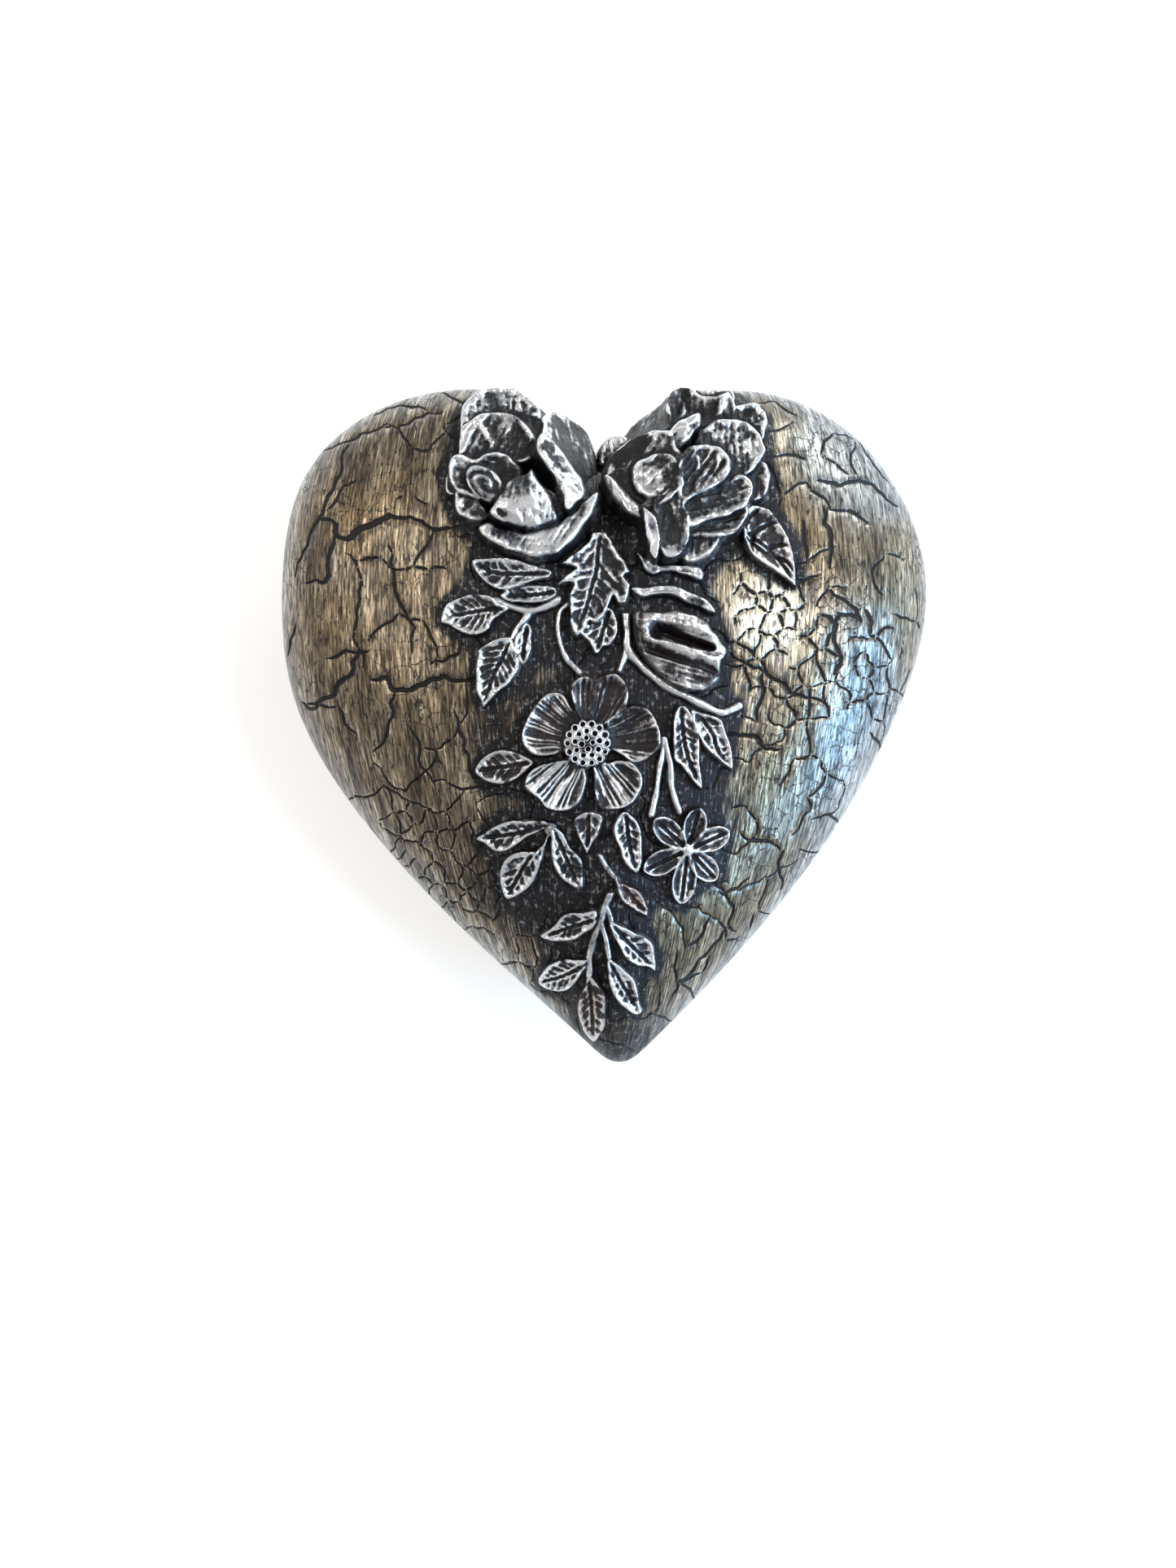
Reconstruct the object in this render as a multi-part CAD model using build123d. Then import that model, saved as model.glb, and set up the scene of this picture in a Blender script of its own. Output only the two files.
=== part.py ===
from build123d import *
import os
from math import atan2, cos, degrees, pi, radians, sin

os.makedirs("parts", exist_ok=True)

# A heart-shaped trinket box: a bowl-shaped base with a glued locating collar, a padded floor
# and a felt foot, and a hollow domed lid that lifts off. Cast roses, flowers, leaves and stems
# are glued along the middle of the lid. +Z is up, the tip points to -Y, and the origin is in
# the middle of the felt foot's underside. All sizes are in millimetres.

# ---- Heart outline at the rim
width = 150.0
length = 156.0
tip_offset = 3.6            # the tip sits this far to +X of the middle
tip_radius = 6.0
tip_inner_radius = 1.5      # the least radius of the tip where the outline is set in
tip_half_angle = 46.0       # between each flank and the Y axis, at the tip
notch_depth = 20.0          # from the lobe tops down to the notch
notch_radius = 4.0
notch_half_angle = 42.0
# Flank points between tip and notch, as shares of half the width and half the length.
right_flank = [(0.30, -0.79), (0.648, -0.397), (0.917, 0.062), (1.0, 0.394), (0.892, 0.734),
               (0.527, 0.988), (0.17, 0.925)]
left_flank = [(0.365, -0.665), (0.735, -0.287), (0.968, 0.118), (0.996, 0.40), (0.917, 0.759),
              (0.533, 0.995), (0.17, 0.925)]

# ---- Body
crown_y = 6.0               # the dome's highest point lies this far to +Y of the middle
base_height = 26.0
dome_height = 31.0
dome_power = 2.2            # 2 is an ellipse; more gives fuller shoulders
foot_share = 0.80           # size of the flat foot against the rim
notch_fade = 0.6            # how far the valley under the notch fills in towards the crown
base_wall = 6.0
lid_wall = 4.0
floor_thickness = 4.0
felt_thickness = 1.2
felt_margin = 3.0           # bare strip of foot round the felt

# ---- Collar and floor pad
collar_thickness = 2.4
collar_seat = 8.0           # glued depth below the rim
collar_stand = 5.0          # height above the rim, inside the lid
collar_clearance = 0.4
collar_lead = 0.8           # chamfer that guides the lid on
pad_thickness = 2.4
pad_gap = 0.6
pad_round = 0.9

# ---- Castings
layout_width = 150.0        # the castings' places below are for a lid of this width and length
layout_length = 156.0
leaf_height = 1.9
leaf_edge_height = 0.7
stem_width = 1.7
stem_height = 1.5
edge_margin = 1.0           # castings stop this far above the rim
crumb_volume = 2.0          # trimming scraps smaller than this are brushed off

rim_z = felt_thickness + base_height
floor_z = felt_thickness + floor_thickness
ratio_x = width / layout_width
ratio_y = length / layout_length
ratio = min(ratio_x, ratio_y)


# ---- The heart section

def tip_arc_size(inset):
    """Radius and centre height of the tip arc. Where the inset would close the arc, it keeps
    its least radius and moves up between the flanks."""
    radius = max(tip_radius - inset, tip_inner_radius)
    lift = (radius + inset - tip_radius) / sin(radians(tip_half_angle))
    return radius, -length / 2 + tip_radius + lift


def end_points(side, inset, fill):
    """Where one flank meets the tip arc and the notch arc, and its directions there."""
    tip_angle = radians(tip_half_angle)
    notch_angle = radians(notch_half_angle + fill * (85 - notch_half_angle))
    tip_r, tip_y = tip_arc_size(inset)
    notch_r = notch_radius + inset + fill * notch_depth
    notch_y = length / 2 - (1 - fill) * notch_depth - inset
    tip = Vector(tip_offset + side * tip_r * cos(tip_angle), tip_y - tip_r * sin(tip_angle))
    notch = Vector(side * notch_r * cos(notch_angle), notch_y - notch_r * (1 - sin(notch_angle)))
    leave = Vector(side * sin(tip_angle), cos(tip_angle))
    arrive = Vector(-side * sin(notch_angle), -cos(notch_angle))
    return tip, notch, leave, arrive


def flank(side, shares, inset, fill):
    """One flank as a spline, moved square to itself by the inset."""
    tip, notch, leave, arrive = end_points(side, 0, 0)
    middle = [Vector(side * x * width / 2, y * length / 2) for x, y in shares]
    chain = [tip, *middle, notch]
    run = [0.0]
    for start, end in zip(chain, chain[1:]):
        run.append(run[-1] + (end - start).length)
    knots = [value / run[-1] for value in run]
    if inset:
        nominal = Edge.make_spline(chain, tangents=[leave, arrive], parameters=knots)
        for i, point in enumerate(middle):
            along = nominal.tangent_at(nominal.param_at_point(point))
            middle[i] = point + Vector(-along.Y, along.X) * side * inset
    tip, notch, leave, arrive = end_points(side, inset, fill)
    return Edge.make_spline([tip, *middle, notch], tangents=[leave, arrive], parameters=knots)


def heart(inset=0.0, share=1.0, z=0.0, fill=0.0):
    """A heart face inset from the rim outline, shrunk about the crown and set at height z."""
    right = flank(1, right_flank, inset, fill)
    left = flank(-1, left_flank, inset, fill)
    notch_top = Vector(0, length / 2 - (1 - fill) * notch_depth - inset)
    tip_r, tip_y = tip_arc_size(inset)
    tip_bottom = Vector(tip_offset, tip_y - tip_r)
    notch_arc = ThreePointArc(right @ 1, notch_top, left @ 1)
    tip_arc = ThreePointArc(left @ 0, tip_bottom, right @ 0)
    face = make_face([right, notch_arc, left, tip_arc])
    return Pos(0, crown_y * (1 - share), z) * scale(face, share)


def dome_share(level):
    return (1 - level ** dome_power) ** (1 / dome_power)


def belly_share(level):
    """Size of the base against the rim, from the foot (level 0) up to the rim (level 1)."""
    return 1 - (1 - foot_share) * (1 - level) ** 2


def dome_solid(inset, height):
    levels = [0, 0.12, 0.30, 0.50, 0.68, 0.82, 0.92, 0.975]
    return loft([heart(inset, dome_share(s), rim_z + height * s, notch_fade * s * s) for s in levels])


def belly_solid(inset, bottom_z):
    faces = []
    for step in range(5):
        z = bottom_z + (rim_z - bottom_z) * step / 4
        faces.append(heart(inset, belly_share((z - felt_thickness) / base_height), z))
    return loft(faces)


# ---- Body pieces

inner_height = dome_height - lid_wall
tip_reach = length / 2 + crown_y
lid_draft = tip_reach * (1 - dome_share(collar_stand / inner_height))
collar_inset = lid_wall + lid_draft + collar_clearance
lid_outside = dome_solid(0, dome_height)
stem_layer = dome_solid(-stem_height, dome_height + stem_height)


def base_shell():
    seat_depth = extrude(heart(collar_inset, z=rim_z - collar_seat), amount=collar_seat)
    return belly_solid(0, felt_thickness) - belly_solid(base_wall, floor_z) - seat_depth


def base_collar():
    height = collar_seat + collar_stand
    ring = heart(collar_inset, z=rim_z - collar_seat)
    ring -= heart(collar_inset + collar_thickness, z=rim_z - collar_seat)
    body = extrude(ring, amount=height)
    top = body.faces().sort_by(Axis.Z)[-1]
    return chamfer(top.outer_wire().edges(), collar_lead)


def floor_pad():
    share = belly_share(floor_thickness / base_height)
    pad = extrude(heart(base_wall + pad_gap, share, floor_z), amount=pad_thickness)
    return fillet(pad.faces().sort_by(Axis.Z)[-1].edges(), pad_round)


def base_felt():
    return extrude(heart(felt_margin, foot_share), amount=felt_thickness)


def lid_shell():
    return lid_outside - dome_solid(lid_wall, inner_height)


# ---- Casting forms: each is cut from above by its outline and capped by a rounded surface
# that stands on the dome where the casting sits. Places follow the lid's width and length, and
# sizes follow whichever of the two has changed least or shrunk most.

def spot(x, y):
    """The place on this lid of a point on the lid that the castings were laid out for."""
    return Vector(x * ratio_x, y * ratio_y)


def seat(x, y, heading=0.0, upright=0.0):
    """A plane on the dome over (x, y), with its X axis turned to the heading. It touches the
    dome, or with upright above 0 it faces between the dome's normal and straight up. A place
    beyond the outline is drawn in towards the crown until it is on the dome."""
    place = spot(x, y)
    hits = lid_outside.find_intersection_points(Axis(place, (0, 0, 1)))
    while not hits:
        place += (Vector(0, crown_y) - place) * 0.04
        hits = lid_outside.find_intersection_points(Axis(place, (0, 0, 1)))
    point, normal = max(hits, key=lambda hit: hit[0].Z)
    normal = (normal + Vector(0, 0, upright)).normalized()
    forward = Vector(cos(radians(heading)), sin(radians(heading)))
    return Plane(point, x_dir=forward - normal * forward.dot(normal), z_dir=normal)


def column(outline):
    """The outline as a column from the rim to well above the lid."""
    return extrude(Pos(0, 0, rim_z) * outline, amount=2 * dome_height)


def lens(start, end, bulge_left, bulge_right):
    """An outline of two arcs; each bulge is measured to the left of the line start to end."""
    a = spot(*start)
    b = spot(*end)
    across = (b - a).normalized().rotate(Axis.Z, 90) * ratio
    middle = (a + b) / 2
    return make_face([ThreePointArc(a, middle + across * bulge_left, b),
                      ThreePointArc(b, middle + across * bulge_right, a)])


def rounded(*points):
    """An outline that runs smoothly through the points and closes on itself."""
    return make_face(Spline(*[spot(*point) for point in points], periodic=True))


def jagged(*points):
    """An outline with a corner at each point, for a leaf with saw-toothed lobes."""
    return make_face(Polyline(*[spot(*point) for point in points], close=True))


def crescent(above, below):
    """An outline between two curves that share their ends."""
    upper = Spline(*[spot(*point) for point in above])
    lower = Spline(*[spot(*point) for point in (above[0], *below, above[-1])])
    return make_face([upper, lower])


def blade(outline, start, end, leaf_width, height=leaf_height):
    """A leaf whose top is rounded across and stands highest along its midrib."""
    drop = height - leaf_edge_height
    radius = ((ratio * leaf_width) ** 2 / 4 + drop ** 2) / (2 * drop)
    along = spot(*end) - spot(*start)
    plane = seat((start[0] + end[0]) / 2, (start[1] + end[1]) / 2, degrees(atan2(along.Y, along.X)))
    barrel = Pos(0, 0, height - radius) * Rot(0, 90, 0) * Cylinder(radius, 4 * along.length)
    return column(outline) & (plane * barrel)


def leaf(start, end, leaf_width, height=leaf_height):
    return blade(lens(start, end, leaf_width / 2, -leaf_width / 2), start, end, leaf_width, height)


def mound(outline, x, y, height, roundness):
    """A low lump with the outline, rounded on top about (x, y)."""
    ball = Pos(0, 0, height - roundness) * Sphere(roundness)
    return column(outline) & (seat(x, y, upright=1.0) * ball)


def stem(*points):
    """A stem of one width and height that follows the dome."""
    path = Spline(*[spot(*point) for point in points])
    return column(trace(path, stem_width)) & stem_layer


def petal(x, y, heading, reach, half_width, height, tilt=0.0, roundness=1.25):
    """A rounded rose petal: an oval lump, tilted so that its lip stands up at the heading."""
    plane = seat(x, y, heading, upright=1.0) * Rot(0, -tilt, 0)
    reach *= ratio
    half_width *= ratio
    oval = Pos(0, 0, height) * extrude(Ellipse(reach, half_width), amount=-height - reach)
    radius = roundness * reach
    ball = Pos(0, 0, height - radius) * Sphere(radius)
    return plane * (oval & ball)


def on_dome(pieces):
    """Joins the forms of one casting and hollows its underside to the dome."""
    body = pieces[0].fuse(*pieces[1:]) if len(pieces) > 1 else pieces[0]
    above_rim = split(body, bisect_by=Plane.XY.offset(rim_z + edge_margin), keep=Keep.TOP)
    return above_rim - lid_outside


# ---- Roses

def rose_left():
    """Layered petals round a ball-shaped heart, with a small spiral bud at its left."""
    return on_dome([
        petal(-17, 50.5, 90, 19, 15.5, 3.2, roundness=3),
        petal(-23, 67.5, 165, 8.8, 5.2, 3.4, tilt=4),
        petal(-22.5, 59.5, 150, 9.2, 6.4, 5.2, tilt=6),
        petal(-28, 49, 200, 7.2, 6.6, 4.8, tilt=6),
        petal(-25, 49, 100, 4.0, 3.4, 7.2, roundness=1.1),
        petal(-7, 56, 80, 9.6, 5.8, 6.6, tilt=8),
        petal(-14, 37, -75, 6.4, 12.4, 5.6, tilt=12, roundness=2.4),
        petal(-9.6, 51, 110, 9.6, 4.6, 8.6, tilt=5),
        petal(-16.4, 45.4, 60, 8.6, 7.4, 9.0),
    ])


def rose_right():
    """A fuller rose with folded petals at its heart and a wavy skirt of lower petals."""
    return on_dome([
        petal(17, 50, 90, 18.5, 15.5, 3.0, roundness=3),
        petal(4.6, 58.5, 130, 5.2, 4.0, 3.4, tilt=6),
        petal(9.5, 65.5, 100, 5.6, 7.0, 3.4, tilt=6),
        petal(20.5, 69, 90, 5.4, 9.6, 3.4, tilt=8, roundness=2.0),
        petal(30.5, 62, 55, 6.0, 5.0, 3.2, tilt=6),
        petal(26, 56.5, 30, 9.2, 7.8, 5.8, tilt=8),
        petal(16.4, 60.5, 40, 8.4, 3.4, 7.0),
        petal(31, 50.5, 0, 4.6, 4.6, 3.4, tilt=6),
        petal(26.4, 40.8, -50, 6.6, 5.2, 4.4, tilt=8),
        petal(19, 35.6, -80, 4.8, 5.8, 4.2, tilt=8),
        petal(23, 45.2, -40, 7.8, 6.2, 6.8, tilt=6),
        petal(8, 49.6, 200, 8.6, 9.2, 7.4, tilt=10),
        petal(13, 39.4, 95, 8.2, 4.6, 7.6),
        petal(19.8, 51.4, 60, 9.0, 5.6, 9.4, tilt=4),
    ])


# ---- Flowers

flower_place = (-3.8, -4.8)
petal_bearings = [76, 11, -58, -125, 151]
flower_petal_inner = 2.5
flower_petal_outer = 15.4
flower_petal_width = 14.6
flower_height = 3.4
dish_radius = 15.0
dish_depth = 1.5
disc_radius = 4.8
disc_height = 4.6
pit_radius = 0.6
pit_count = 11


def flower_petal():
    """One broad petal along +X, round at its tip, with its middle dished."""
    half = flower_petal_width / 2
    rim = Spline((flower_petal_inner, 1.6), (0.62 * flower_petal_outer, half),
                 (flower_petal_outer, 0), (0.62 * flower_petal_outer, -half),
                 (flower_petal_inner, -1.6))
    outline = make_face([rim, Line(rim @ 1, rim @ 0)])
    body = Pos(0, 0, flower_height) * extrude(outline, amount=-4 * flower_height)
    middle = (flower_petal_inner + flower_petal_outer) / 2 + 1
    return body - Pos(middle, 0, flower_height + dish_radius - dish_depth) * Sphere(dish_radius)


def large_flower():
    """Five dished petals round a seed disc with a ring of pits."""
    head = [Rot(0, 0, bearing) * flower_petal() for bearing in petal_bearings]
    ball = (disc_radius ** 2 + 1) / 2
    disc = Cylinder(disc_radius, 2 * disc_height) & Pos(0, 0, disc_height - ball) * Sphere(ball)
    plane = seat(*flower_place)
    flower = on_dome([plane * scale(piece, ratio) for piece in [*head, disc]])
    for i in range(pit_count):
        turn = 2 * pi * i / pit_count
        pit = Pos(0.72 * disc_radius * cos(turn), 0.72 * disc_radius * sin(turn), disc_height - 0.5)
        flower -= plane * scale(pit * Sphere(pit_radius), ratio)
    return flower


small_flower_place = (17.4, -27.0)
small_petals = [(138, 9.8), (75, 9.2), (23, 9.8), (-46, 9.2), (-96, 11.6), (-155, 10.4)]
small_petal_width = 4.8
small_petal_height = 2.4


def small_flower():
    """Six pointed petals, each given by its bearing and its length, round a small knob."""
    x, y = small_flower_place
    pieces = [petal(x, y, 0, 1.9, 1.9, 3.6)]
    for bearing, reach in small_petals:
        turn = radians(bearing)
        tip = (x + reach * cos(turn), y + reach * sin(turn))
        pieces.append(leaf((x, y), tip, small_petal_width, small_petal_height))
    return on_dome(pieces)


# ---- Leaves and stems

def rose_leaf_right():
    """A broad rose leaf that lies out from under the right rose."""
    outline = jagged((25.8, 38.4), (26.4, 42.6), (28.2, 44.8), (30.2, 46.0), (32.4, 46.0),
                     (33.6, 44.2), (35.6, 43.4), (36.2, 41.4), (38.2, 39.8), (38.2, 37.6),
                     (39.6, 35.6), (39.2, 33.4), (40.2, 31.4), (40.0, 28.0), (37.6, 29.6),
                     (36.2, 30.0), (34.8, 31.6), (33.0, 31.8), (31.6, 33.6), (29.6, 34.0),
                     (28.4, 36.0))
    return on_dome([blade(outline, (27.4, 42.0), (39.8, 28.6), 14.0, 2.6)])


def wavy_calyx():
    """A long sepal that shows under the right rose."""
    edge = crescent([(5.4, 35.6), (8.6, 33.4), (12.4, 32.2), (17.0, 32.4), (21.2, 30.6)],
                    [(7.6, 31.2), (10.4, 29.8), (14.4, 30.4), (18.4, 28.6)])
    return on_dome([blade(edge, (5.0, 33.2), (21.0, 30.4), 7.0, 2.8)])


def centre_leaf():
    """A leaf between the roses with three ragged lobes a side, and a leaflet below its tip."""
    main = jagged((-2.8, 40.0), (-3.6, 37.4), (-5.6, 35.4), (-9.6, 32.2), (-6.6, 31.8),
                  (-8.4, 29.8), (-10.2, 27.8), (-6.8, 28.6), (-7.8, 26.2), (-7.6, 23.4),
                  (-7.4, 20.4), (-6.2, 17.2), (-4.4, 18.8), (-2.8, 20.6), (-0.8, 21.4),
                  (0.6, 23.6), (1.6, 26.2), (3.4, 24.0), (4.6, 25.6), (5.0, 28.2), (3.6, 30.2),
                  (5.2, 30.8), (4.2, 33.0), (2.4, 35.4), (0.8, 38.0), (0.2, 40.0))
    leaflet = jagged((-5.4, 18.2), (-3.8, 19.6), (-1.4, 20.8), (-0.4, 22.4), (1.0, 23.0),
                     (2.0, 21.4), (2.4, 19.2), (2.2, 17.0), (0.8, 15.2), (-0.6, 15.2),
                     (-1.8, 13.4), (-2.8, 15.2), (-3.6, 16.4), (-4.6, 16.8))
    return on_dome([blade(main, (-1.2, 40.0), (-4.4, 17.2), 17.0, 3.0),
                    blade(leaflet, (0.0, 22.6), (-2.0, 13.4), 9.0, 2.4)])


def leaf_spray_left_upper():
    """A broad leaf and a narrow one that point left from behind the centre leaf."""
    return on_dome([leaf((-11.0, 30.0), (-28.0, 32.4), 7.4),
                    leaf((-9.8, 26.8), (-22.4, 25.8), 4.2)])


def leaf_spray_left_lower():
    """Two broad leaves and a narrow one on a stem from beside the centre leaf."""
    lower = rounded((-19.6, 18.0), (-24.0, 16.4), (-26.8, 13.4), (-27.2, 8.4), (-26.2, 4.2),
                    (-24.8, 2.6), (-22.4, 5.6), (-19.4, 8.8), (-18.0, 11.8), (-18.6, 15.2))
    return on_dome([stem((-9.4, 25.4), (-12.5, 23.6), (-15.6, 22.6), (-18.6, 23.2), (-22.4, 25.4)),
                    stem((-15.6, 22.8), (-17.6, 20.2), (-19.6, 16.8)),
                    leaf((-20.4, 22.8), (-34.6, 21.6), 8.8),
                    blade(lower, (-19.2, 18.6), (-25.0, 2.8), 9.6),
                    leaf((-16.2, 22.6), (-17.0, 11.4), 3.8)])


def stem_left_arc():
    """The thin stem that frames the left of the oval below the centre leaf."""
    return on_dome([stem((-7.6, 24.6), (-9.6, 21.8), (-9.9, 18.6), (-8.6, 14.2), (-5.2, 9.6))])


def stem_right_long():
    """The stem at the oval's right. It runs on past the folded leaf to a curl, with a branch
    down behind the large flower and one leaf under it."""
    return on_dome([stem((4.0, 22.4), (4.2, 19.0), (4.6, 15.0), (7.0, 11.4), (11.0, 8.2),
                         (16.0, 5.2), (21.6, 2.2), (25.0, 1.6), (28.6, 3.4)),
                    stem((4.4, 18.0), (3.8, 13.4), (2.6, 9.8)),
                    leaf((17.8, 3.2), (26.8, -10.4), 6.2)])


def folded_pod():
    """A leaf rolled into thick folds over a narrow slit, with a thin arched blade above it."""
    fold = rounded((6.4, 22.0), (9.6, 22.0), (13.2, 22.8), (17.2, 22.0), (20.8, 20.2),
                   (23.4, 17.0), (25.2, 13.4), (24.0, 9.2), (21.4, 6.6), (17.8, 6.2),
                   (13.4, 7.4), (10.0, 10.0), (7.4, 13.2), (5.8, 17.6))
    arch = crescent([(4.8, 26.4), (8.0, 27.9), (12.0, 28.2), (15.4, 27.6), (18.6, 26.2),
                     (23.4, 22.0)],
                    [(8.0, 25.4), (11.4, 25.9), (14.6, 25.3), (18.0, 23.7)])
    slit = column(rounded((9.4, 17.8), (10.6, 19.4), (13.4, 18.8), (17.4, 17.0), (21.2, 15.0),
                          (16.4, 15.2), (12.0, 16.4))) - stem_layer
    return on_dome([petal(6.2, 24.0, 0, 2.4, 2.4, 2.2),
                    mound(fold, 15.5, 14.4, 5.4, 17.0),
                    blade(arch, (5.0, 25.6), (23.0, 22.8), 9.0, 2.6)]) - slit


def leaf_beside_flower():
    return on_dome([leaf((15.2, 3.2), (20.2, -14.8), 7.2)])


def stem_fork():
    """Two stems from the leaf pair down to the small flower."""
    return on_dome([stem((12.0, -3.6), (11.8, -9.0), (10.8, -15.0), (9.4, -20.2)),
                    stem((12.0, -3.6), (13.6, -9.6), (13.8, -14.4), (15.6, -19.4))])


def leaf_left_of_flower():
    return on_dome([leaf((-14.0, -8.4), (-27.6, -10.6), 7.4)])


def leaf_trio_left():
    """Three leaves that fan out from under the large flower."""
    return on_dome([leaf((-11.4, -22.0), (-27.8, -25.0), 7.0),
                    leaf((-11.8, -23.0), (-21.0, -38.2), 7.4),
                    leaf((-11.2, -22.2), (-5.4, -35.6), 6.2),
                    petal(-11.5, -22.8, 0, 1.8, 1.8, 2.1)])


def leaf_under_flower():
    return on_dome([leaf((-3.6, -18.6), (-3.6, -28.0), 6.2)])


def leaf_right_lower():
    return on_dome([leaf((2.8, -18.6), (6.6, -32.4), 6.2)])


def leaf_drop():
    """A leaf on its own short stem, left of the small flower."""
    return on_dome([stem((-1.2, -27.6), (-0.4, -30.6), (2.4, -33.0)),
                    leaf((1.8, -32.4), (8.8, -41.6), 5.6)])


def bottom_sprig():
    """Five leaves on a forked stem that ends near the tip of the heart."""
    return on_dome([stem((1.0, -36.0), (-0.6, -41.4), (-2.4, -48.0), (-3.4, -55.0), (-3.6, -58.0)),
                    stem((-1.4, -44.4), (0.6, -47.5), (1.4, -52.5)),
                    leaf((-0.8, -41.0), (-14.4, -47.0), 6.2),
                    leaf((-1.0, -42.4), (11.0, -53.4), 6.6),
                    leaf((-2.8, -50.8), (-14.6, -56.6), 6.2),
                    leaf((1.2, -50.6), (7.6, -63.2), 6.6),
                    leaf((-3.6, -55.4), (-2.6, -70.8), 6.2)])


# ---- Write each piece. A casting is trimmed where one laid before it stands.

body_pieces = [base_felt, base_shell, base_collar, floor_pad, lid_shell]
castings = [rose_left, rose_right, large_flower, folded_pod, centre_leaf, small_flower, wavy_calyx,
            rose_leaf_right, leaf_spray_left_upper, stem_right_long, leaf_spray_left_lower,
            stem_left_arc, leaf_beside_flower, stem_fork, leaf_left_of_flower, leaf_trio_left,
            leaf_right_lower, leaf_under_flower, leaf_drop, bottom_sprig]


def boxes_meet(a, b):
    return a.min.X < b.max.X and b.min.X < a.max.X and a.min.Y < b.max.Y and b.min.Y < a.max.Y


def write(name, body):
    export_step(body, "parts/" + name + ".step")


for make in body_pieces:
    write(make.__name__, make())

laid = []
for make in castings:
    casting = make()
    box = casting.bounding_box()
    for other, other_box in laid:
        if boxes_meet(box, other_box):
            casting -= other
    solids = [solid for solid in casting.solids() if solid.volume > crumb_volume]
    casting = solids[0] if len(solids) == 1 else Compound(solids)
    laid.append((casting, box))
    write(make.__name__, casting)
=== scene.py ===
import math

import bmesh
import bpy
import numpy as np
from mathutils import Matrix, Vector
from mathutils.bvhtree import BVHTree
from mathutils.geometry import delaunay_2d_cdt
from mathutils.kdtree import KDTree


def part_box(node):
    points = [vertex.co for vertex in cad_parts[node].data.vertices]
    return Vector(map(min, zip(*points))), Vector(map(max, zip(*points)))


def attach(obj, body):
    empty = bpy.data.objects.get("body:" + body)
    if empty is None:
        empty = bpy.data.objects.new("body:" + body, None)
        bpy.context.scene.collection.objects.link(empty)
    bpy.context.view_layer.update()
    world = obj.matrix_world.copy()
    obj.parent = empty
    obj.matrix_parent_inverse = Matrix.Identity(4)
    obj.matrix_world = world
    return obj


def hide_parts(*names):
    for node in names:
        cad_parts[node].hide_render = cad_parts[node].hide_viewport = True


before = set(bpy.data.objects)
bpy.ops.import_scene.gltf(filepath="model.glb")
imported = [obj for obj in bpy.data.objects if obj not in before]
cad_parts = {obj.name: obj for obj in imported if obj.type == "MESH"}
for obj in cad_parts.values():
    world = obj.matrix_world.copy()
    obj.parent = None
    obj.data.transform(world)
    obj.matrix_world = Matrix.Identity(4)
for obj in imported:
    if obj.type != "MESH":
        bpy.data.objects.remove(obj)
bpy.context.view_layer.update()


# ---- Felt foot
# A thin black felt pad cut to the heart of the foot and glued under the base, so that the
# box doesn't scratch the table. Only its edge shows.

rim_turns = 480                        # points in each ring round the heart
turn_angles = np.arange(rim_turns) * 2 * math.pi / rim_turns
heart_axis = Vector((0.0, 6.0, 0.0))   # the rings are centred here, in millimetres
beyond = 150.0                         # farther from the axis than any skin


def skin_of(node_name):
    """A search tree over a CAD node's skin, in millimetres."""
    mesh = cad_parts[node_name].data
    corners = [vertex.co * 1000 for vertex in mesh.vertices]
    return BVHTree.FromPolygons(corners, [list(face.vertices) for face in mesh.polygons])


def smooth_round(reaches, spread):
    """Blurs a closed run of values, or the closed runs down each column, along its first axis."""
    offsets = range(-int(3 * spread), int(3 * spread) + 1)
    weights = [math.exp(-0.5 * (step / spread) ** 2) for step in offsets]
    total = sum(np.roll(reaches, step, axis=0) * weight for step, weight in zip(offsets, weights))
    return total / sum(weights)


def face_distance(tree, start, away, face):
    """How far a piece's outer or inner face lies from a point inside it, in one direction."""
    if face == "outer":
        spot = tree.ray_cast(start + away * beyond, -away)[0]
    else:
        spot = tree.ray_cast(start, away)[0]
    return (spot - start).length


def heart_ring(tree, height, face="outer", inset=0.0, lift=None, spread=1.1):
    """A ring of points round the heart's axis on one face of a piece, at one height."""
    axis = Vector((heart_axis.x, heart_axis.y, height))
    reaches = []
    for turn in range(rim_turns):
        angle = 2 * math.pi * turn / rim_turns
        away = Vector((math.cos(angle), math.sin(angle), 0))
        reaches.append(face_distance(tree, axis, away, face))
    reach = smooth_round(np.array(reaches), spread) - inset
    level = height if lift is None else lift
    return np.stack([heart_axis.x + reach * np.cos(turn_angles),
                     heart_axis.y + reach * np.sin(turn_angles),
                     np.full(rim_turns, level)], axis=1)


def new_piece(name, points, faces):
    """A smooth mesh object from points in millimetres, its faces turned outwards."""
    mesh = bpy.data.meshes.new(name)
    mesh.from_pydata((np.asarray(points) * 0.001).tolist(), [], faces)
    shape = bmesh.new()
    shape.from_mesh(mesh)
    if shape.calc_volume(signed=True) < 0:
        bmesh.ops.reverse_faces(shape, faces=shape.faces)
    shape.to_mesh(mesh)
    shape.free()
    mesh.polygons.foreach_set("use_smooth", [True] * len(mesh.polygons))
    made = bpy.data.objects.new(name, mesh)
    bpy.context.scene.collection.objects.link(made)
    return made


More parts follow.
